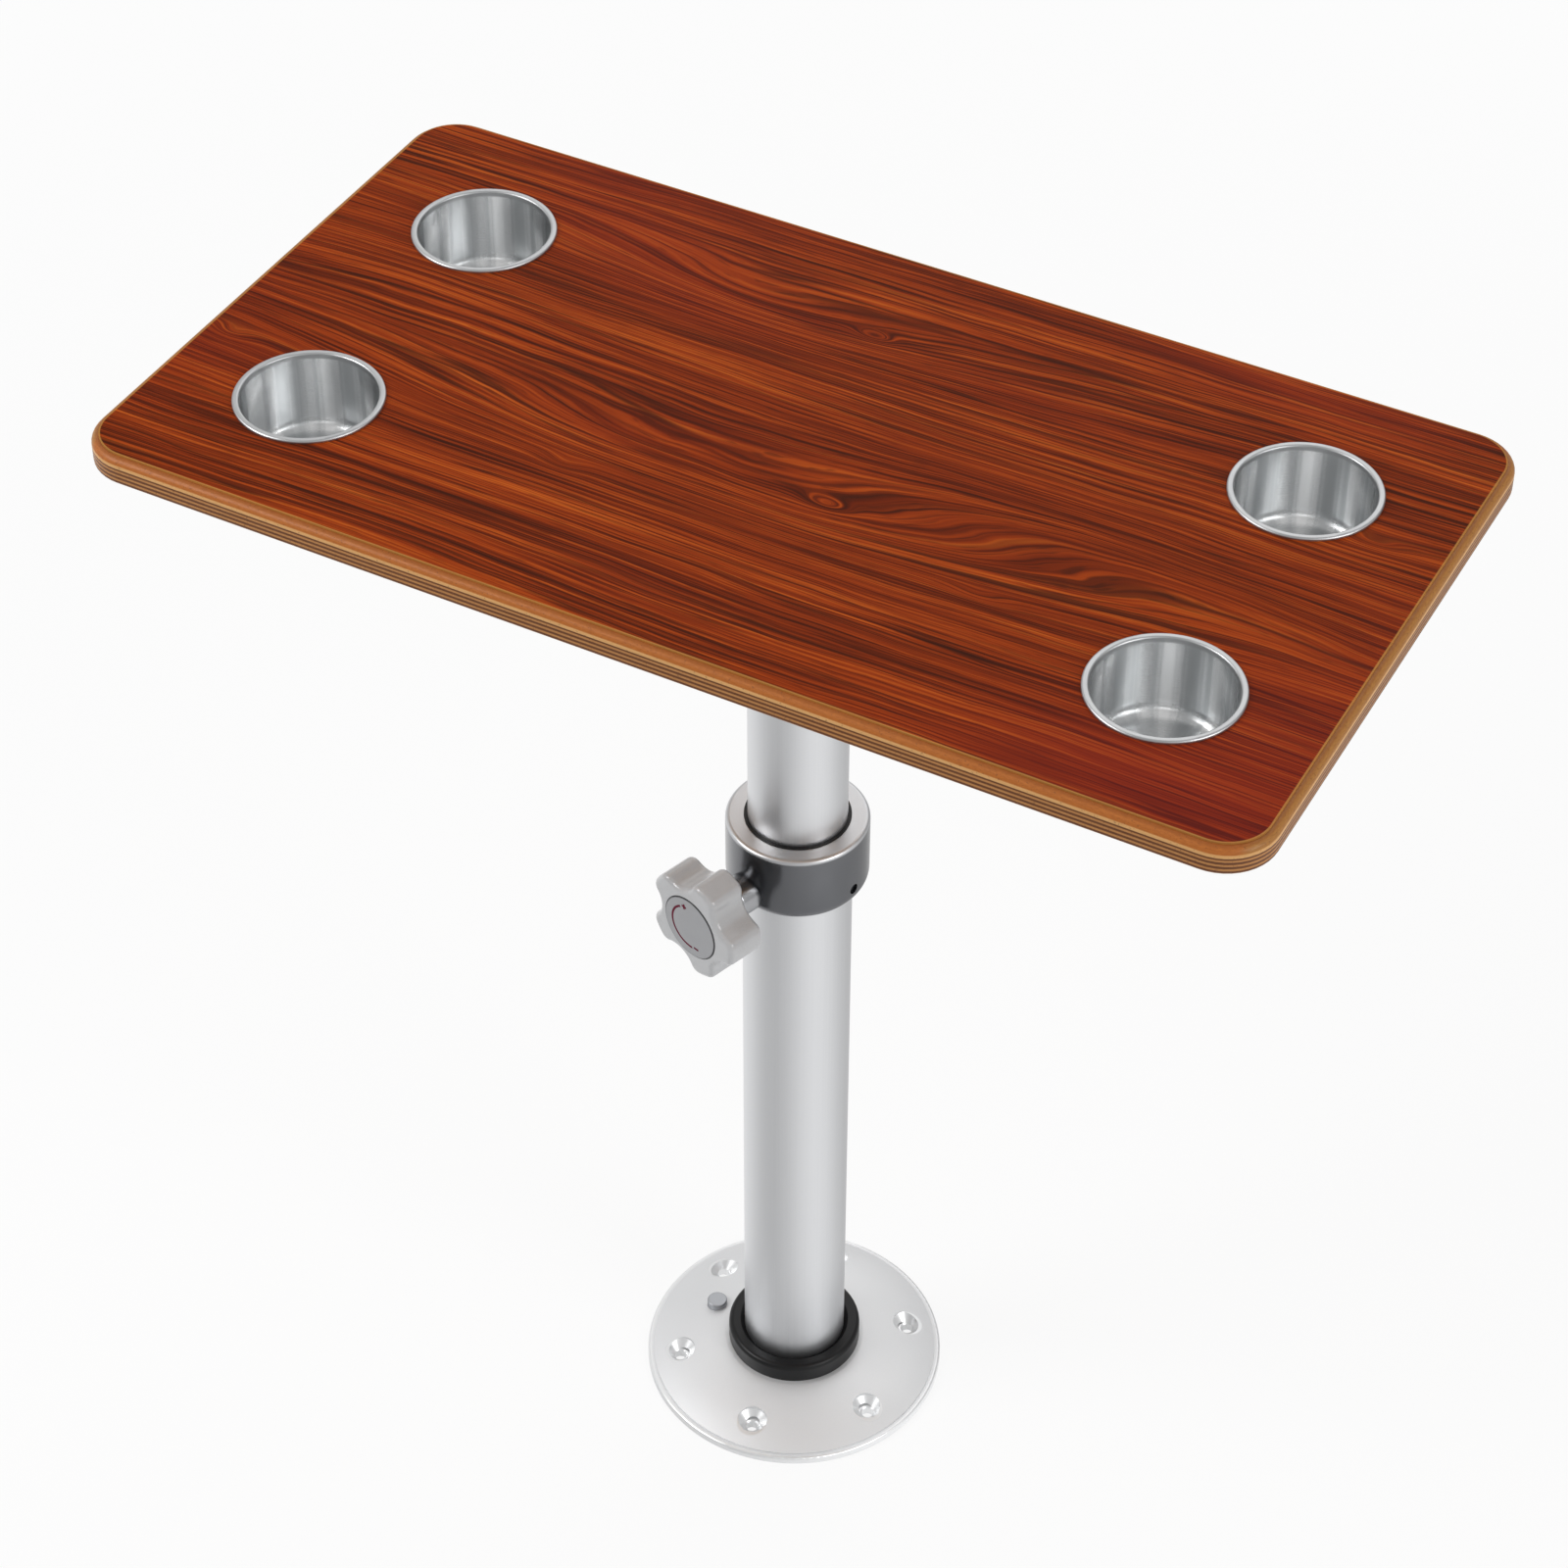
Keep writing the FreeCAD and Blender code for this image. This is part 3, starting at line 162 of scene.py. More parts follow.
class Paint:
    """One material: a Principled shader and the nodes that feed it."""

    def __init__(self, name, **fixed):
        self.material = bpy.data.materials.new(name)
        self.material.use_nodes = True
        self.nodes = self.material.node_tree.nodes
        self.links = self.material.node_tree.links
        self.shader = next(n for n in self.nodes if n.type == "BSDF_PRINCIPLED")
        for socket, value in fixed.items():
            self.set(socket.replace("_", " "), value)

    def set(self, socket, value):
        """Give a shader socket a value or a wire."""
        self.feed(self.shader.inputs[socket], value)

    def feed(self, target, value):
        """Link a wire to a socket, or write a plain value or an opaque colour into it."""
        if isinstance(value, Wire):
            self.links.new(value.socket, target)
        elif hasattr(value, "__len__") and len(value) == 3 and target.type == "RGBA":
            target.default_value = (*value, 1.0)
        else:
            target.default_value = value

    def node(self, kind, settings=None, values=None, output=0):
        """Any node, from its type, its settings and what goes into its sockets."""
        made = self.nodes.new(kind)
        for key, value in (settings or {}).items():
            if key == "stops":
                self.stops(made.color_ramp, value)
            else:
                setattr(made, key, value)
        for key, value in (values or {}).items():
            self.feed(made.inputs[key], value)
        return Wire(self, made.outputs[output])

    def stops(self, ramp, stops):
        """Give a colour ramp its (position, colour) stops."""
        while len(ramp.elements) < len(stops):
            ramp.elements.new(1.0)
        for element, (position, colour) in zip(ramp.elements, stops):
            element.position = position
            element.color = (*colour, 1.0)

    def place(self):
        """The point on the piece, in metres, as one vector wire."""
        return self.node("ShaderNodeTexCoord", output="Object")

    def axes(self):
        """The point's x, y and z as three wires."""
        split = self.nodes.new("ShaderNodeSeparateXYZ")
        self.feed(split.inputs[0], self.place())
        return [Wire(self, out) for out in split.outputs]

    def vector(self, x, y, z):
        """Three numbers or wires as one vector."""
        return self.node("ShaderNodeCombineXYZ", values={0: x, 1: y, 2: z})

    def noise(self, place, detail=2.0, rough=0.5):
        """Smooth noise between 0 and 1 at a place, with about one swell to a unit."""
        values = {"Vector": place, "Scale": 1.0, "Detail": detail, "Roughness": rough}
        return self.node("ShaderNodeTexNoise", values=values)

    def speckle(self, fineness, detail=2.0, rough=0.5):
        """Noise that is alike in all directions, with fineness swells to the metre."""
        place = self.vector(*(axis * fineness for axis in self.axes()))
        return self.noise(place, detail, rough)

    def mix(self, amount, first, second):
        """A colour between two colours."""
        values = {MIX_FACTOR: amount, MIX_FIRST: first, MIX_SECOND: second}
        return self.node("ShaderNodeMix", {"data_type": "RGBA"}, values, MIX_RESULT)

    def ramp(self, amount, stops):
        """A colour picked from stops by an amount."""
        return self.node("ShaderNodeValToRGB", {"stops": stops}, {"Fac": amount})

    def bump(self, height, distance, strength):
        """Tilt the surface by a height field, given in units of distance metres."""
        values = {"Height": height, "Distance": distance, "Strength": strength}
        self.set("Normal", self.node("ShaderNodeBump", values=values))


def shade(red, green, blue):
    """A colour given as it looks on screen (0 to 255), turned to linear light."""
    seen = np.array((red, green, blue)) / 255.0
    linear = np.where(seen <= 0.04045, seen / 12.92, ((seen + 0.055) / 1.055) ** 2.4)
    return tuple(linear.tolist())


print("white is", shade(255, 255, 255))

# %% [markdown]
# ## Wood laminate
# The top sheet is a printed rosewood pattern under a clear, semi-gloss skin. Real grain is
# the contour map of a cut through yearly rings, so the pattern starts from one height field:
# the distance across the board, plus long low mounds where the cut ran through a cone of
# rings, plus small steep mounds for knots. Bands and streaks are noise read along that
# height, stretched far along the board, which makes arches and eyes without drawing them.

# %% Height field of the grain
MOUNDS = [
    # centre x, centre y, reach along, reach across, height, in metres
    (-0.030, -0.045, 0.210, 0.036, 0.030),
    (-0.060, 0.096, 0.130, 0.024, 0.022),
    (0.190, -0.010, 0.120, 0.022, -0.014),
    (-0.240, 0.030, 0.110, 0.020, -0.012),
    (-0.095, -0.069, 0.012, 0.006, 0.007),
    (0.034, -0.036, 0.012, 0.005, 0.006),
    (0.130, -0.064, 0.016, 0.005, 0.006),
    (-0.009, 0.098, 0.010, 0.004, 0.008),
    (-0.300, -0.056, 0.012, 0.006, 0.006),
    (0.278, 0.063, 0.014, 0.005, 0.006),
]


def grain_height(paint, x, y):
    """Height = y + slow waves + the sum over mounds of height * exp(-(dx/a)^2 - (dy/b)^2)."""
    wave = paint.noise(paint.vector(x * 4.0, y * 12.0, 0.3), detail=1.5)
    shake = paint.noise(paint.vector(x * 22.0, y * 60.0, 3.3), detail=1.5)
    height = y + (wave - 0.5) * 0.016 + (shake - 0.5) * 0.0022
    for centre_x, centre_y, along, across, rise in MOUNDS:
        dx = (x - centre_x) / along
        dy = (y - centre_y) / across
        mound = (0.0 - (dx * dx + dy * dy)).math("EXPONENT")
        height = height + mound * rise
    return height


print("mounds and knots", len(MOUNDS))

# %% [markdown]
# The printed figure is five fields of that height, from broad bands down to pores, and
# three sets of dark lines. A dark line is drawn where a field crosses its middle value,
# which gives long unbroken lines of one width. Each row below says how many swells there
# are to a metre along and across the grain. The seed picks another part of the noise.

# %% Laminate paint
SHEET_CORNER = 0.023
EDGE_LINE = (0.0010, 0.0005)
FIELDS = {
    # swells along, swells across, seed, detail, roughness of the noise
    "bands": (1.4, 70.0, 1.7, 2.0, 0.5),
    "streaks": (3.6, 380.0, 5.1, 2.5, 0.65),
    "fibres": (14.0, 1000.0, 9.4, 1.0, 0.5),
    "pores": (60.0, 1900.0, 2.2, 1.0, 0.5),
    "patch": (3.0, 40.0, 6.6, 1.0, 0.5),
}
DARK_LINES = {
    # swells along, swells across, seed, half width in units of the noise
    "thick": (1.3, 110.0, 7.7, 0.026),
    "thin": (2.8, 260.0, 3.9, 0.050),
    "hair": (5.0, 520.0, 8.3, 0.060),
}


def edge_line(x, y):
    """Pale line round the sheet, from the distance to its outline.

    For a rectangle with round corners the distance is the length of the part of
    (|x|, |y|) beyond the corner's centre, less the corner's radius."""
    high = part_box("top_laminate")[1]
    over_x = (x.math("ABSOLUTE") - (high.x - SHEET_CORNER)).math("MAXIMUM", 0.0)
    over_y = (y.math("ABSOLUTE") - (high.y - SHEET_CORNER)).math("MAXIMUM", 0.0)
    outside = (over_x * over_x + over_y * over_y).math("SQRT") - SHEET_CORNER
    return outside.before(0.0, *EDGE_LINE)


def grain_field(paint, x, height, along, across, seed, detail, rough):
    """Noise stretched along the grain: its place is (x * along, height * across, seed)."""
    return paint.noise(paint.vector(x * along, height * across, seed), detail, rough)


def dark_lines(paint, x, height, along, across, seed, width):
    """Thin lines where |field - 0.5| is less than the width, darkest at 0."""
    field = grain_field(paint, x, height, along, across, seed, 1.5, 0.5)
    return (field - 0.5).math("ABSOLUTE").between(width, 0.0)


def wood_laminate():
    """Printed rosewood under a clear skin."""
    paint = Paint("wood_laminate", Roughness=0.42, Specular_IOR_Level=0.03)
    x, y, _ = paint.axes()
    height = grain_height(paint, x, y)
    bands, streaks, fibres, pores, patch = (
        grain_field(paint, x, height, *row) for row in FIELDS.values())
    thick, thin, hair = (dark_lines(paint, x, height, *row) for row in DARK_LINES.values())
    tone = bands * 0.26 + streaks * 0.44 + fibres * 0.30
    body = paint.ramp(tone, [
        (0.36, shade(60, 22, 6)),
        (0.43, shade(95, 31, 6)),
        (0.49, shade(127, 45, 9)),
        (0.55, shade(149, 58, 13)),
        (0.64, shade(178, 84, 24)),
    ])
    dark = thick.math("MAXIMUM", thin * patch.between(0.38, 0.56) * 0.85)
    dark = dark.math("MAXIMUM", hair * patch.between(0.58, 0.40) * 0.55)
    body = paint.mix(dark * 0.80, body, shade(48, 19, 7))
    body = paint.mix(pores.between(0.40, 0.28) * 0.5, body, shade(58, 24, 8))
    redder = paint.noise(paint.vector(x * 4.0, y * 9.0, 4.0), detail=1.0)
    corner = (x - y * 1.1).between(0.24, 0.46)
    red = redder.between(0.48, 0.78) * 0.30 + corner * 0.50
    body = paint.mix(red, body, shade(128, 35, 24))
    body = paint.mix(dark * corner * 0.7, body, shade(64, 16, 18))
    body = paint.mix(edge_line(x, y) * 0.75, body, shade(178, 128, 66))
    paint.set("Base Color", body)
    paint.set("Roughness", 0.38 + fibres * 0.10)
    paint.bump(fibres * 0.6 + pores * 0.4, 0.00002, 0.3)
    return paint.material


laminate_paint = wood_laminate()
print("laminate nodes", len(laminate_paint.node_tree.nodes))

# %% [markdown]
# ## Plywood edge
# The board is plywood, and its cut edge shows the plies as thin light and dark lines: each
# second ply shows end grain, which drinks more varnish. The lines follow the height alone,
# so they stay level around the corners. The rounded top edge cuts the top ply at a slant
# and looks wide and tan, and the flat underside shows one sheet of veneer with its grain
# along the board. Each is found by its height as well.

# %% Plywood paint
BOARD_LOW, BOARD_HIGH = (corner.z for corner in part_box("table_board"))
PLY = 0.00128
# Depths below the board's top, in metres, where each part begins and where it is full.
TOP_PLY = (0.0052, 0.0049)
ROUND_OVER = (0.0036, 0.0028)
DARK_LIP = (0.0009, 0.0002)
# The same from the board's ends, and heights above its underside for the veneer.
PALE_END = (0.0120, 0.0060)
VENEER = (0.00025, 0.00010)


def plywood():
    """Stripes by height between the rounded top edge and the veneer of the underside."""
    paint = Paint("plywood", Specular_IOR_Level=0.2, Coat_Weight=0.08, Coat_Roughness=0.2)
    x, y, z = paint.axes()
    wander = paint.noise(paint.vector(x * 9.0, y * 9.0, 0.0), detail=1.0)
    level = z - BOARD_LOW + (wander - 0.5) * 0.0003
    thickness = BOARD_HIGH - BOARD_LOW
    stripe = (level * (math.pi / PLY)).math("SINE").between(-0.35, 0.55)
    fibre = paint.noise(paint.vector(x * 380.0, y * 380.0, z * 2600.0), detail=2.0, rough=0.6)
    long_fibre = paint.noise(paint.vector(x * 60.0, y * 60.0, z * 3000.0), detail=2.0)
    light = paint.mix(long_fibre, shade(192, 138, 80), shade(154, 98, 50))
    deep = paint.mix(fibre, shade(116, 68, 32), shade(76, 42, 18))
    body = paint.mix(stripe, deep, light)
    pale = paint.mix(long_fibre * 0.5, shade(216, 166, 106), shade(180, 126, 72))
    body = paint.mix(level.before(thickness, *TOP_PLY), body, pale)
    tan = paint.mix(fibre, shade(190, 114, 50), shade(142, 76, 30))
    ends = x.math("ABSOLUTE").before(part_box("table_board")[1].x, *PALE_END)
    tan = paint.mix(ends * 0.8, tan, paint.mix(fibre, shade(178, 130, 68), shade(134, 88, 42)))
    body = paint.mix(level.before(thickness, *ROUND_OVER), body, tan)
    lip = level.before(thickness, *DARK_LIP)
    body = paint.mix(lip * 0.5, body, shade(132, 72, 30))
    veneer = paint.noise(paint.vector(x * 5.0, y * 170.0, 1.0), detail=3.0, rough=0.6)
    below = paint.mix(veneer.between(0.30, 0.70), shade(150, 104, 62), shade(206, 160, 108))
    body = paint.mix((z - BOARD_LOW).between(*VENEER), body, below)
    specks = paint.speckle(900.0, 1.0)
    body = paint.mix(specks.between(0.66, 0.74) * 0.5, body, shade(92, 58, 36))
    paint.set("Base Color", body)
    paint.set("Roughness", 0.36 + fibre * 0.16)
    paint.bump(stripe * 0.5 + fibre * 0.5, 0.00006, 0.5)
    return paint.material


plywood_paint = plywood()
print("plies about", round((BOARD_HIGH - BOARD_LOW) / PLY))

# %% [markdown]
# ## Metals
# The metals follow one recipe with other numbers. Drawn and anodised tube has fine lines
# along its length, a satin casting has a soft even speckle, and a pressed cup is brushed
# round its wall. The lines are noise stretched along the way the tool went; they change the
# roughness a little and tilt the surface a very little, which spreads the reflections.

# %% Metal paints
LINE_DEPTH = 0.00001
DARK_LINE_SHARE = 0.86


def brushed(paint, lines, rough_low, rough_high, tint):
    """Vary a metal by a field of fine lines: its tint, its roughness and its slope."""
    dark = tuple(channel * DARK_LINE_SHARE for channel in tint)
    paint.set("Base Color", paint.mix(lines, dark, tint))
    paint.set("Roughness", rough_low + lines * (rough_high - rough_low))
    paint.bump(lines, LINE_DEPTH, 0.4)
    return paint.material


def anodised_tube():
    """Satin silver tube with faint lines along its length."""
    paint = Paint("anodised_tube", Metallic=1.0)
    x, y, z = paint.axes()
    along = paint.noise(paint.vector(x * 1500.0, y * 1500.0, z * 6.0), 2.0, 0.6)
    lines = along * 0.5 + paint.speckle(2600.0, 1.0) * 0.5
    return brushed(paint, lines, 0.32, 0.44, shade(219, 220, 222))


def satin_casting(name, tint, rough_low, rough_high):
    """Cast and blasted aluminium with an even speckle."""
    paint = Paint(name, Metallic=1.0)
    grain = paint.speckle(1800.0, 2.0, 0.6) * 0.6 + paint.speckle(30.0) * 0.4
    return brushed(paint, grain, rough_low, rough_high, tint)


tube_paint = anodised_tube()
casting_paint = satin_casting("satin_casting", shade(214, 215, 217), 0.36, 0.50)
zinc_paint = satin_casting("zinc_steel", shade(176, 178, 182), 0.24, 0.38)
spring_paint = satin_casting("spring_steel", shade(150, 151, 154), 0.22, 0.34)
button_paint = satin_casting("button_metal", shade(172, 174, 178), 0.34, 0.46)
print("metal paints ready")

# %% [markdown]
# ## Base plate paint
# The plate is a casting under a thin silver lacquer, so it is paler and less metallic than
# bare metal. Its six countersinks are freshly cut and smoother, and are painted paler as a
# painted highlight. Each is found by its distance from the hole's axis, so the bright ring is
# part of the paint and needs no second piece. A thin band round the rim is turned smoother and
# painted paler as a painted highlight as well.

# %% Base plate paint
HOLE_CIRCLE = 0.070
HOLE_PHASE = math.radians(37.0)
HOLE_COUNT = 6
SINK_RADIUS = 0.0092
SINK_EDGE = 0.0004
PLATE_RADIUS = 0.089
RIM_BAND = (0.0022, 0.0012)


def hole_places():
    """Centres of the six holes: a circle's points from the phase, evenly spaced."""
    turns = HOLE_PHASE + np.arange(HOLE_COUNT) * (2 * math.pi / HOLE_COUNT)
    return HOLE_CIRCLE * np.cos(turns), HOLE_CIRCLE * np.sin(turns)


def distance(x, y, centre_x, centre_y):
    """How far (x, y) is from a centre: the root of dx^2 + dy^2."""
    dx, dy = x - centre_x, y - centre_y
    return (dx * dx + dy * dy).math("SQRT")


def base_plate_paint():
    """Lacquered plate with smoother countersinks and rim, painted paler as a painted highlight."""
    paint = Paint("base_plate_metal", Metallic=0.65)
    x, y, _ = paint.axes()
    # Cut metal and painted highlight: the countersinks and the rim band are smoother, and painted
    # paler.
    cut_metal_and_highlight = distance(x, y, 0.0, 0.0).before(PLATE_RADIUS, *RIM_BAND)
    for centre_x, centre_y in zip(*hole_places()):
        reach = distance(x, y, float(centre_x), float(centre_y))
        cut_metal_and_highlight = cut_metal_and_highlight.math("MAXIMUM", reach.between(SINK_RADIUS, SINK_RADIUS - SINK_EDGE))
    grain = paint.speckle(1800.0, 2.0, 0.6) * 0.6 + paint.speckle(24.0) * 0.4
    satin = paint.mix(grain, shade(218, 219, 221), shade(232, 233, 234))
    paint.set("Base Color", paint.mix(cut_metal_and_highlight, satin, shade(236, 237, 238)))
    paint.set("Roughness", 0.48 + grain * 0.10 - cut_metal_and_highlight * 0.22)
    paint.bump(grain, LINE_DEPTH, 0.4)
    return paint.material


plate_paint = base_plate_paint()
print("base plate nodes", len(plate_paint.node_tree.nodes))

# %% [markdown]
# ## Collar paint
# The collar's wall is polished and its top face is turned. The paint tells them apart by
# height: below the top round it is a smoother metal, painted darker as painted shade for the
# dark surroundings that the polished wall mirrors, and the top face is pale. The boss that
# holds the stud stands out from the wall, and is painted paler the further it stands out, as a
# painted highlight.

# %% Collar paint
COLLAR_LOW, COLLAR_HIGH = (corner.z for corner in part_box("collar"))
COLLAR_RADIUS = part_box("collar")[1].x
TURNED_TOP = (0.0030, 0.0012)
BOSS_START, BOSS_FULL = COLLAR_RADIUS + 0.0002, COLLAR_RADIUS + 0.0030


def collar_metal():
    """Polished wall painted dark as painted shade, pale turned top, and a boss painted paler as a
    painted highlight.
    """
    paint = Paint("collar_metal", Metallic=1.0)
    x, y, z = paint.axes()
    speckle = paint.speckle(2200.0, 2.0, 0.6)
    reflection_cloud = paint.noise(paint.vector(x * 34.0, y * 34.0, z * 12.0))
    reach = distance(x, y, 0.0, 0.0)
    rings = paint.noise(paint.vector(reach * 5200.0, 0.0, 0.0), 1.0)
    top = z.before(COLLAR_HIGH, *TURNED_TOP)
    # Painted highlight: the boss is painted paler the further it stands out.
    boss_highlight = reach.between(BOSS_START, BOSS_FULL)
    # Painted shade: the wall is painted darker than its metal, and the cloud makes that shade
    # uneven, for the dark surroundings that it mirrors.
    wall = paint.mix(reflection_cloud, shade(84, 85, 88), shade(124, 125, 128))
    wall = paint.mix(speckle * 0.35, wall, shade(80, 81, 84))
    wall = paint.mix(boss_highlight * 0.6, wall, shade(190, 191, 193))
    face = paint.mix(rings, shade(196, 197, 199), shade(216, 217, 219))
    paint.set("Base Color", paint.mix(top, wall, face))
    paint.set("Roughness", 0.18 + speckle * 0.08 + top * 0.18)
    paint.bump(speckle, LINE_DEPTH, 0.3)
    return paint.material


collar_paint = collar_metal()
print("collar from", round(COLLAR_LOW, 4), "to", round(COLLAR_HIGH, 4))

# %% [markdown]
# ## Brushed cups
# The cups are deep-drawn stainless, brushed round and round. Light runs off such a wall in
# upright streaks, light and dark, which fan out from the cup's own axis. The paint draws these
# streaks into the colour as painted reflections. It reads the direction from that axis,
# (dx/r, dy/r), as the place for its noise, so the streaks close on themselves with no seam.
# The floor is brushed in rings, read from the distance r.

# %% Cup paint
CUPS = ["cup_holder_1", "cup_holder_2", "cup_holder_3", "cup_holder_4"]
CUP_FLOOR_RADIUS = 0.027
CUP_WALL_START = 0.004
CUP_RIM = (0.0040, 0.0022)
CUP_MIDDLE = 0.0005


def cup_steel(name, node):
    """Stainless steel brushed about the middle of one cup, with its reflections painted as upright
    streaks.

    The distance from the axis never falls to 0, so that dx/r stays defined there."""
    low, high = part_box(node)
    paint = Paint(name, Metallic=1.0)
    x, y, z = paint.axes()
    centre_x, centre_y = (low.x + high.x) / 2, (low.y + high.y) / 2
    dx, dy = x - centre_x, y - centre_y
    reach = distance(x, y, centre_x, centre_y).math("MAXIMUM", CUP_MIDDLE)
    side_x, side_y = dx / reach, dy / reach
    broad = paint.noise(paint.vector(side_x * 2.6, side_y * 2.6, 0.7), 1.0)
    narrow = paint.noise(paint.vector(side_x * 9.0, side_y * 9.0, 3.1))
    rings = paint.noise(paint.vector(reach * 2600.0, z * 5200.0, 0.0))
    wall_part = reach.between(CUP_FLOOR_RADIUS, CUP_FLOOR_RADIUS + CUP_WALL_START)
    # Painted reflections: light and dark upright streaks in the wall's colour, weaker on the floor.
    reflection_streak = (broad * 0.6 + narrow * 0.4).between(0.38, 0.62) * (0.35 + wall_part * 0.65)
    rim = z.before(high.z, *CUP_RIM)
    wall = paint.mix(reflection_streak, shade(200, 202, 203), shade(252, 252, 252))
    wall = paint.mix(rings * 0.22, wall, shade(184, 186, 187))
    paint.set("Base Color", paint.mix(rim, wall, shade(186, 187, 188)))
    paint.set("Roughness", 0.24 + rings * 0.12 - reflection_streak * 0.06 + rim * 0.12)
    paint.bump(rings, LINE_DEPTH, 0.35)
    return paint.material


cup_paints = {}
for number, node in enumerate(CUPS, start=1):
    cup_paints[node] = cup_steel("cup_steel_%d" % number, node)
print("cup paints", len(cup_paints))

# %% [markdown]
# ## Moulded plastics
# The knob is glossy grey plastic, its cap a darker grey, the foot and the liner are black
# nylon, and the hidden bushes are pale nylon. Moulded plastic is never quite flat: a broad,
# very shallow waviness breaks up its highlights, and a fine speckle dulls them.

# %% Plastic paints
COAT_ROUGHNESS = 0.08
WAVES = 90.0
WAVE_DEPTH = 0.00003


def moulded(name, tint, rough, coat=0.0, depth=WAVE_DEPTH, gloss=0.5):
    """Plastic with a slow waviness and a fine speckle."""
    paint = Paint(name, Coat_Weight=coat, Coat_Roughness=COAT_ROUGHNESS, Specular_IOR_Level=gloss)
    wave = paint.speckle(WAVES, 1.0)
    speckle = paint.speckle(3000.0, 1.0)
    deep = tuple(channel * 0.9 for channel in tint)
    paint.set("Base Color", paint.mix(wave * 0.7 + speckle * 0.3, deep, tint))
    paint.set("Roughness", rough + speckle * 0.08 + wave * 0.05)
    paint.bump(wave * 0.8 + speckle * 0.2, depth, 0.3)
    return paint.material


knob_paint = moulded("knob_plastic", shade(182, 183, 185), 0.22, coat=0.6)
black_paint = moulded("black_nylon", shade(17, 17, 18), 0.30, depth=0.00005, gloss=0.28)
pale_paint = moulded("pale_nylon", shade(222, 219, 208), 0.45)
mark_paint = moulded("mark_print", shade(98, 12, 42), 0.5, gloss=0.12)
print("plastic paints ready")

# %% [markdown]
# ## Dressing the measured solids
# The frame's meshes have the right shape and their own shading directions, taken from the
# exact surfaces, so curved walls are smooth and real edges stay sharp. They are left as
# they are, and each node only gets the finish of its material.

# %% Paint the nodes
PAINTS = {
    "table_board": plywood_paint,
    "top_laminate": laminate_paint,
    "mount_plate": casting_paint,
    "mount_screws": zinc_paint,
    "socket_bush": black_paint,
    "hub_screw": zinc_paint,
    "upper_tube": tube_paint,
    "guide_bush": pale_paint,
    "collar": collar_paint,
    "collar_bush": black_paint,
    "collar_screws": zinc_paint,
    "clamp_shoe": pale_paint,
    "knob_stud": zinc_paint,
    "knob_body": knob_paint,
    "lower_tube": tube_paint,
    "foot_plug": black_paint,
    "base_plate": plate_paint,
    "release_button": button_paint,
    "button_keeper": zinc_paint,
    "keeper_screws": zinc_paint,
}


def dress(node, paint):
    """Give a node its paint in place of the frame's plain colour."""
    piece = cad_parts[node]
    piece.data.materials.clear()
    piece.data.materials.append(paint)


for node, paint in {**PAINTS, **cup_paints}.items():
    dress(node, paint)
print("dressed", len(PAINTS) + len(cup_paints), "nodes")

# %% [markdown]
# ## Marks on the knob's cap
# The cap carries a thin curved line with a plus at one end and a minus at the other, to show
# which way to turn. Each is a shallow raised strip, carried along a path on the cap's face.
# The knob points away from the column, so its face has its own axes: one outward, one up,
# and one to the right as seen from outside. Points are placed along those three.

# %% Face of the cap
KNOB_ANGLE = math.radians(252.0)
cap_low, cap_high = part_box("knob_cap")
outward = np.array((math.cos(KNOB_ANGLE), math.sin(KNOB_ANGLE), 0.0))
upward = np.array((0.0, 0.0, 1.0))
rightward = np.cross(-outward, upward)
cap_points = np.empty(len(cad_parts["knob_cap"].data.vertices) * 3, np.float32)
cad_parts["knob_cap"].data.vertices.foreach_get("co", cap_points)
cap_points = cap_points.reshape(-1, 3)
CAP_HEIGHT = float((cap_low.z + cap_high.z) / 2)
CAP_FACE = float((cap_points @ outward).max())
CAP_RADIUS = float((cap_high.z - cap_low.z) / 2)
print("cap face, radius, height", np.round((CAP_FACE, CAP_RADIUS, CAP_HEIGHT), 4))


def on_cap(right, up, out):
    """Middle of the face + right * rightward + up * upward + out * outward."""
    middle = upward * CAP_HEIGHT + outward * CAP_FACE
    beside = middle + right[..., None] * rightward
    return beside + up[..., None] * upward + out[..., None] * outward


# %% [markdown]
# ## Strips along a path
# The marks, the thread and the spring are all made in one way: a row of rings, each with the
# same number of points, joined to the next ring by quads and closed by a flat face at either
# end. Blender then turns every face outwards. Only the rings differ from piece to piece.

# %% Closed strips
STRIP_SIDES = 12
SQUARENESS = 0.4


def grid_faces(rows, columns):
    """Quads of a grid of rows x columns points whose columns close on themselves."""
    row, column = np.meshgrid(np.arange(rows - 1), np.arange(columns), indexing="ij")
    after = (column + 1) % columns
    quads = np.stack((row * columns + column, row * columns + after,
                      (row + 1) * columns + after, (row + 1) * columns + column), axis=-1)
    return quads.reshape(-1, 4)


def closed_strip(name, points, paint, body):
    """A mesh from rings of points (rings, around, 3), closed at both ends, faces outward."""
    rings, around = points.shape[:2]
    faces = grid_faces(rings, around).tolist()
    faces.append(list(range(around))[::-1])
    faces.append(list(range((rings - 1) * around, rings * around)))
    mesh = bpy.data.meshes.new(name)
    mesh.from_pydata(points.reshape(-1, 3).tolist(), [], faces)
    shell = bmesh.new()
    shell.from_mesh(mesh)
    bmesh.ops.recalc_face_normals(shell, faces=shell.faces)
    shell.to_mesh(mesh)
    shell.free()
    mesh.materials.append(paint)
    piece = bpy.data.objects.new(name, mesh)
    bpy.context.scene.collection.objects.link(piece)
    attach(piece, body)
    return piece


def pressed(value):
    """sign(v) * |v|^0.4, which presses a circle's cosine and sine towards a square."""
    return np.sign(value) * np.abs(value) ** SQUARENESS


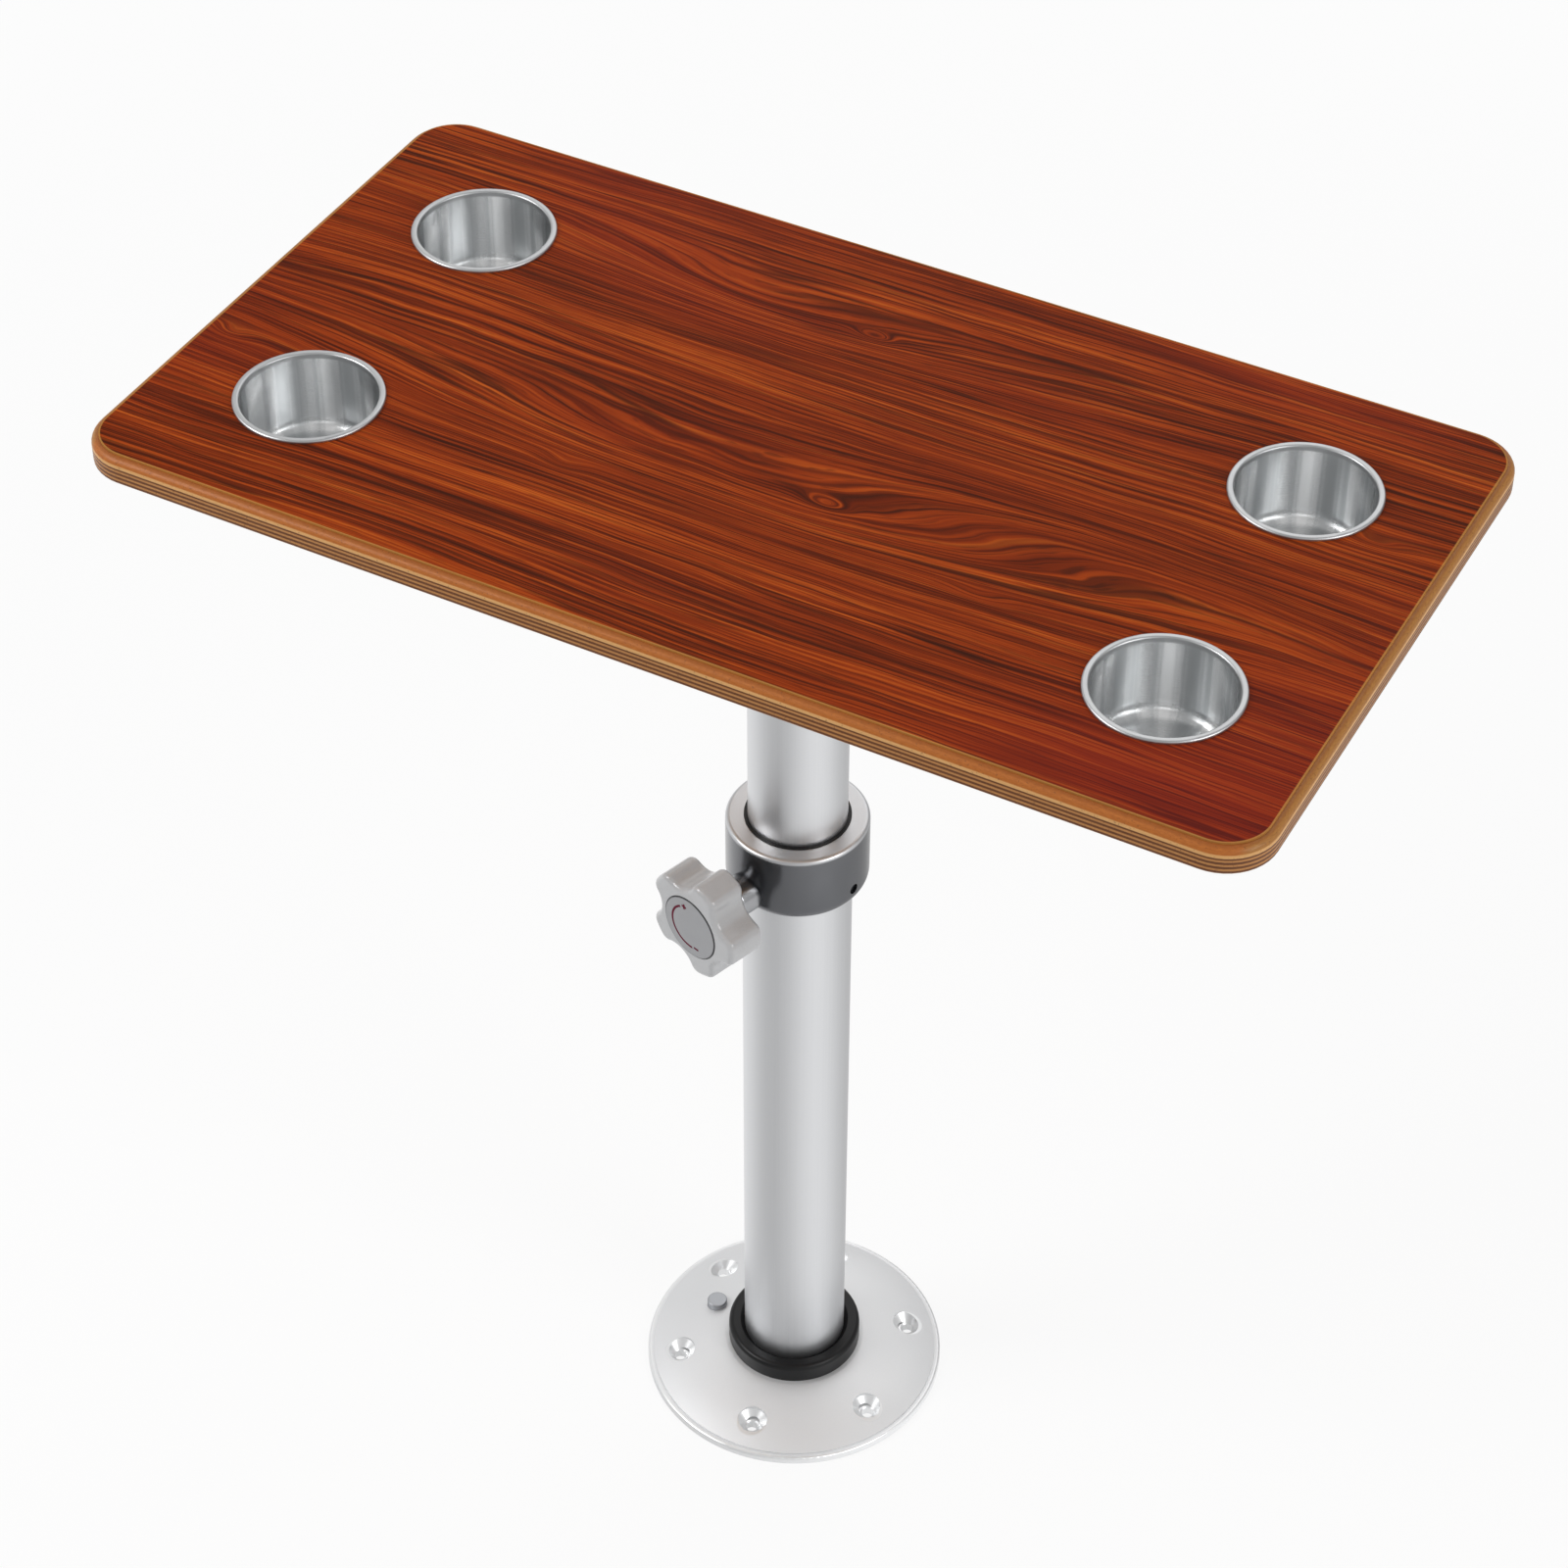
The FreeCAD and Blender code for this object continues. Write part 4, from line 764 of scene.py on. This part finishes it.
def strip_section():
    """Unit section of a strip, across and up: a circle pressed square."""
    turn = np.linspace(0, 2 * math.pi, STRIP_SIDES, endpoint=False)
    return pressed(np.cos(turn)), pressed(np.sin(turn))


print("points round a strip", len(strip_section()[0]))

# %% [markdown]
# ## Cap paint
# The cap is pressed into the knob, and a fine dark seam shows round it: the narrow gap lies in
# shade. The gap could be cut into the mesh, but it is only half a millimetre wide, so the paint
# draws it as painted shade: it is dark between two distances from the cap's axis.

# %% Cap paint
SEAM = 0.0005


def cap_plastic():
    """Darker grey plastic with a dark seam of painted shade where the cap sits in the knob.

    The seam is found by the distance from the cap's axis, the root of right^2 + up^2."""
    paint = Paint("cap_plastic", Coat_Weight=0.4, Coat_Roughness=COAT_ROUGHNESS)
    x, y, z = paint.axes()
    right = x * float(rightward[0]) + y * float(rightward[1])
    reach = distance(right, z, 0.0, CAP_HEIGHT)
    # Painted shade: the gap round the cap, drawn as a dark ring.
    seam_shade = reach.before(CAP_RADIUS, SEAM * 1.4, SEAM * 0.6)
    wave = paint.speckle(WAVES, 1.0)
    face = paint.mix(wave, shade(140, 141, 144), shade(150, 151, 154))
    paint.set("Base Color", paint.mix(seam_shade * 0.9, face, shade(52, 52, 54)))
    paint.set("Roughness", 0.26 + wave * 0.06 + seam_shade * 0.2)
    paint.bump(wave, WAVE_DEPTH, 0.3)
    return paint.material


dress("knob_cap", cap_plastic())
print("cap painted")

# %% [markdown]
# ## The printed line
# The line is an arc about the cap's middle, and the plus and the minus are short straight
# strips that sit on the same circle, just past its ends. They stand six hundredths of a
# millimetre proud, as a thick print does, which is enough to catch a highlight.

# %% Curved line and its two signs
LINE_RADIUS = CAP_RADIUS * 0.70
LINE_HALF_WIDTH = 0.00068
LINE_RISE = 0.00006
LINE_START, LINE_END = math.radians(122.0), math.radians(278.0)
LINE_RINGS = 60
SIGN_REACH = 0.0017
SIGN_RINGS = 9
PLUS_ANGLE, MINUS_ANGLE = math.radians(108.0), math.radians(292.0)


def curved_line():
    """Arc of a circle about the cap's middle, with the strip's section at right angles."""
    across, rise = strip_section()
    turn = np.linspace(LINE_START, LINE_END, LINE_RINGS)[:, None]
    radius = LINE_RADIUS + LINE_HALF_WIDTH * across[None, :]
    out = LINE_RISE * rise[None, :] + 0.0 * turn
    points = on_cap(radius * np.cos(turn), radius * np.sin(turn), out)
    return closed_strip("cap_arc", points, mark_paint, "knob")


def short_bar(name, angle, upright):
    """Straight strip centred on the circle of the arc at an angle, level or upright."""
    across, rise = strip_section()
    along = np.linspace(-SIGN_REACH, SIGN_REACH, SIGN_RINGS)[:, None] + 0.0 * across[None, :]
    side = LINE_HALF_WIDTH * across[None, :] + 0.0 * along
    out = LINE_RISE * rise[None, :] + 0.0 * along
    right, up = (side, along) if upright else (along, side)
    middle_right, middle_up = LINE_RADIUS * math.cos(angle), LINE_RADIUS * math.sin(angle)
    points = on_cap(middle_right + right, middle_up + up, out)
    return closed_strip(name, points, mark_paint, "knob")


marks = [
    curved_line(),
    short_bar("cap_plus_level", PLUS_ANGLE, False),
    short_bar("cap_plus_upright", PLUS_ANGLE, True),
    short_bar("cap_minus", MINUS_ANGLE, False),
]
print("cap marks made:", len(marks))

# %% [markdown]
# ## Thread of the stud
# The stud that clamps the column is threaded. A thread is a rod whose radius rises and falls
# once per turn of a helix: at an angle a and a distance s along the rod, the radius is the
# crest's radius less the depth times a wave that runs from 0 to 1 once for each pitch.

# %% Threaded rod
THREAD_PITCH = 0.0015
THREAD_CREST = 0.00488
THREAD_DEPTH = 0.0006
THREAD_START, THREAD_STOP = 0.0335, 0.0600
THREAD_SIDES = 28
RINGS_PER_PITCH = 8


def stud_thread():
    """Radius = crest - depth * (1 - w) / 2, with w the cosine of 2 pi s / pitch - a."""
    turn = np.linspace(0, 2 * math.pi, THREAD_SIDES, endpoint=False)[None, :]
    along = np.arange(THREAD_START, THREAD_STOP, THREAD_PITCH / RINGS_PER_PITCH)[:, None]
    wave = np.cos(2 * math.pi * along / THREAD_PITCH - turn)
    radius = THREAD_CREST - THREAD_DEPTH * (1 - wave) / 2
    out = along - CAP_FACE + 0.0 * turn
    points = on_cap(radius * np.cos(turn), radius * np.sin(turn), out)
    return closed_strip("stud_thread", points, zinc_paint, "knob")


thread = stud_thread()
print("thread triangles about", len(thread.data.polygons) * 2)

# %% [markdown]
# ## Spring of the button
# A small coil spring under the release button pushes it up. Its ends lie flat, so the pitch
# of the helix is nothing at each end and greatest in the middle. The wire is a circle
# carried along that line, at right angles to it. The spring stands on the keeper plate and
# shortens as the button goes down.

# %% Coil spring
BUTTON_ANGLE = math.radians(183.0)
BUTTON_PLACE = 0.052
SPRING_TURNS = 4
SPRING_RADIUS = 0.0033
WIRE_RADIUS = 0.00035
RINGS_PER_TURN = 32
WIRE_SIDES = 12


def coil_spring():
    """Height = low + climb * (u - sin(2 pi u) / (2 pi)) for u from 0 to 1 over the turns."""
    low, high = (corner.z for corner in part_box("button_spring"))
    climb = high - low - 2 * WIRE_RADIUS
    share = np.linspace(0, 1, SPRING_TURNS * RINGS_PER_TURN + 1)
    turn = share * SPRING_TURNS * 2 * math.pi
    height = low + WIRE_RADIUS + climb * (share - np.sin(2 * math.pi * share) / (2 * math.pi))
    middle = np.stack((SPRING_RADIUS * np.cos(turn), SPRING_RADIUS * np.sin(turn), height), axis=-1)
    tangent = np.gradient(middle, axis=0)
    tangent /= np.linalg.norm(tangent, axis=1, keepdims=True)
    outside = np.stack((np.cos(turn), np.sin(turn), 0.0 * turn), axis=-1)
    upright = np.cross(tangent, outside)
    around = np.linspace(0, 2 * math.pi, WIRE_SIDES, endpoint=False)[None, :, None]
    ring = outside[:, None] * np.cos(around) + upright[:, None] * np.sin(around)
    points = middle[:, None] + WIRE_RADIUS * ring
    spot = BUTTON_PLACE * np.array((math.cos(BUTTON_ANGLE), math.sin(BUTTON_ANGLE), 0.0))
    spring = closed_strip("coil_spring", points + spot, spring_paint, "column")
    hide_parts("button_spring")
    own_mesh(spring)
    return spring


spring = coil_spring()
print("spring wire triangles about", len(spring.data.polygons) * 2)

# %% [markdown]
# ## Floor and light
# A pale floor and soft lamps show the shape without strong shadows. The camera sees the
# floor as nearly white, while it still takes the table's shadow. Satin metal is only as
# lively as what it mirrors, so mirrored rays see the floor and the sky a little lighter to
# two sides and darker to the two between, as if pale and dark boards stood around the
# table. Seen from below, the floor lets light and sight through.

# %% Floor
BOARD_WAY = math.radians(340.0)
FLOOR_DROP = 0.0002
FLOOR_REACH = 9.0
FLOOR_TINT = (0.80, 0.80, 0.80)
MIRROR_LIGHT, MIRROR_CONTRAST = 0.90, 0.26
WHITE_NEAR = 0.85
FADE_START, FADE_END = 0.8, 3.0
WHITE = (1.0, 1.0, 1.0)
# Keeps a division by the squared distance defined at the very middle.
NEARLY_NOTHING = 0.0001


def board_pattern(x, y, spread):
    """cos(2(a - a0)) * spread for a direction (x, y) at the angle a: +1 along a0, -1 across."""
    cosine, sine = math.cos(BOARD_WAY), math.sin(BOARD_WAY)
    along = x * cosine + y * sine
    across = y * cosine - x * sine
    return (along * along - across * across) * spread


def floor_paint():
    """Grey floor under a white glow, mixed by the kind of ray, and clear from below.

    The glow's strength is 1 for the camera, and for mirrored rays it follows the
    board pattern. It takes WHITE_NEAR of the mix near the table and all of it far off,
    so that only the near floor keeps the table's shadow."""
    paint = Paint("studio_floor", Base_Color=FLOOR_TINT, Roughness=0.9)
    x, y, _ = paint.axes()
    boards = board_pattern(x, y, 1.0) / (x * x + y * y + NEARLY_NOTHING)
    seen = paint.node("ShaderNodeLightPath", output="Is Camera Ray")
    glossy = paint.node("ShaderNodeLightPath", output="Is Glossy Ray")
    through = paint.node("ShaderNodeLightPath", output="Is Transmission Ray")
    mirrored = glossy.math("MAXIMUM", through)
    strength = seen + mirrored * (MIRROR_LIGHT + boards * MIRROR_CONTRAST) * (1.0 - seen)
    glow = paint.node("ShaderNodeEmission", values={"Color": WHITE, "Strength": strength})
    far = distance(x, y, 0.0, 0.0).between(FADE_START, FADE_END) * seen
    amount = seen.math("MAXIMUM", mirrored) * WHITE_NEAR + far * (1.0 - WHITE_NEAR)
    solid = Wire(paint, paint.shader.outputs["BSDF"])
    lit = paint.node("ShaderNodeMixShader", values={0: amount, 1: solid, 2: glow})
    clear = paint.node("ShaderNodeBsdfTransparent")
    under = paint.node("ShaderNodeNewGeometry", output="Backfacing")
    one_sided = paint.node("ShaderNodeMixShader", values={0: under, 1: lit, 2: clear})
    paint.feed(paint.nodes["Material Output"].inputs["Surface"], one_sided)
    return paint.material


def studio_floor():
    """A wide level floor, a little below the plate so that the two never share a plane."""
    corners = [(-1, -1), (1, -1), (1, 1), (-1, 1)]
    points = [(x * FLOOR_REACH, y * FLOOR_REACH, -FLOOR_DROP) for x, y in corners]
    mesh = bpy.data.meshes.new("studio_floor")
    mesh.from_pydata(points, [], [(0, 1, 2, 3)])
    mesh.materials.append(floor_paint())
    floor = bpy.data.objects.new("studio_floor", mesh)
    bpy.context.scene.collection.objects.link(floor)


studio_floor()
print("floor reaches", FLOOR_REACH, "m to each side")

# %% [markdown]
# ## Lamps and sky
# Three large square lamps stand round the table. The strongest is on the left and shapes the
# tubes, a weaker one on the right fills the shadow side, and the one behind lights the
# plate and the collar from the back. A large lamp gives soft shadows and long highlights.
# The sky adds light from all sides, and it is plain white where the camera sees it.

# %% Lamps and sky
COLUMN_MIDDLE = (0.0, 0.0, 0.4)
LAMPS = [
    # name, place in metres, width in metres, power in watts
    ("lamp_left", (-1.6, -1.2, 2.0), 1.2, 30.0),
    ("lamp_right", (1.9, -0.4, 1.4), 1.0, 14.0),
    ("lamp_back", (-0.3, 1.9, 2.2), 2.4, 16.0),
]
SKY_STRENGTH, SKY_CONTRAST = 0.55, 0.22


def soft_lamp(name, place, size, power):
    """A square lamp that faces the middle of the column."""
    lamp = bpy.data.lights.new(name, "AREA")
    lamp.shape = "SQUARE"
    lamp.size = size
    lamp.energy = power
    holder = bpy.data.objects.new(name, lamp)
    bpy.context.scene.collection.objects.link(holder)
    way = Vector(place) - Vector(COLUMN_MIDDLE)
    turn = way.to_track_quat("Z", "Y").to_matrix().to_4x4()
    holder.matrix_world = Matrix.Translation(place) @ turn


class Sky(Paint):
    """The world's light, written with the same wires as a paint."""

    def __init__(self, name):
        self.world = bpy.data.worlds.new(name)
        self.world.use_nodes = True
        self.nodes = self.world.node_tree.nodes
        self.links = self.world.node_tree.links
        self.shader = self.nodes["Background"]

    def place(self):
        """The direction that light comes from, as one vector wire."""
        return self.node("ShaderNodeTexCoord", output="Generated")


def studio_sky():
    """Light from all sides, stronger along the pale boards, and white to the camera."""
    sky = Sky("studio_sky")
    x, y, _ = sky.axes()
    seen = sky.node("ShaderNodeLightPath", output="Is Camera Ray")
    light = board_pattern(x, y, SKY_CONTRAST) + SKY_STRENGTH
    sky.set("Color", WHITE)
    sky.set("Strength", light * (1.0 - seen) + seen)
    bpy.context.scene.world = sky.world


for lamp in LAMPS:
    soft_lamp(*lamp)
studio_sky()
bpy.context.scene.view_settings.view_transform = "Standard"
print("lamps", len(LAMPS), "and sky set")
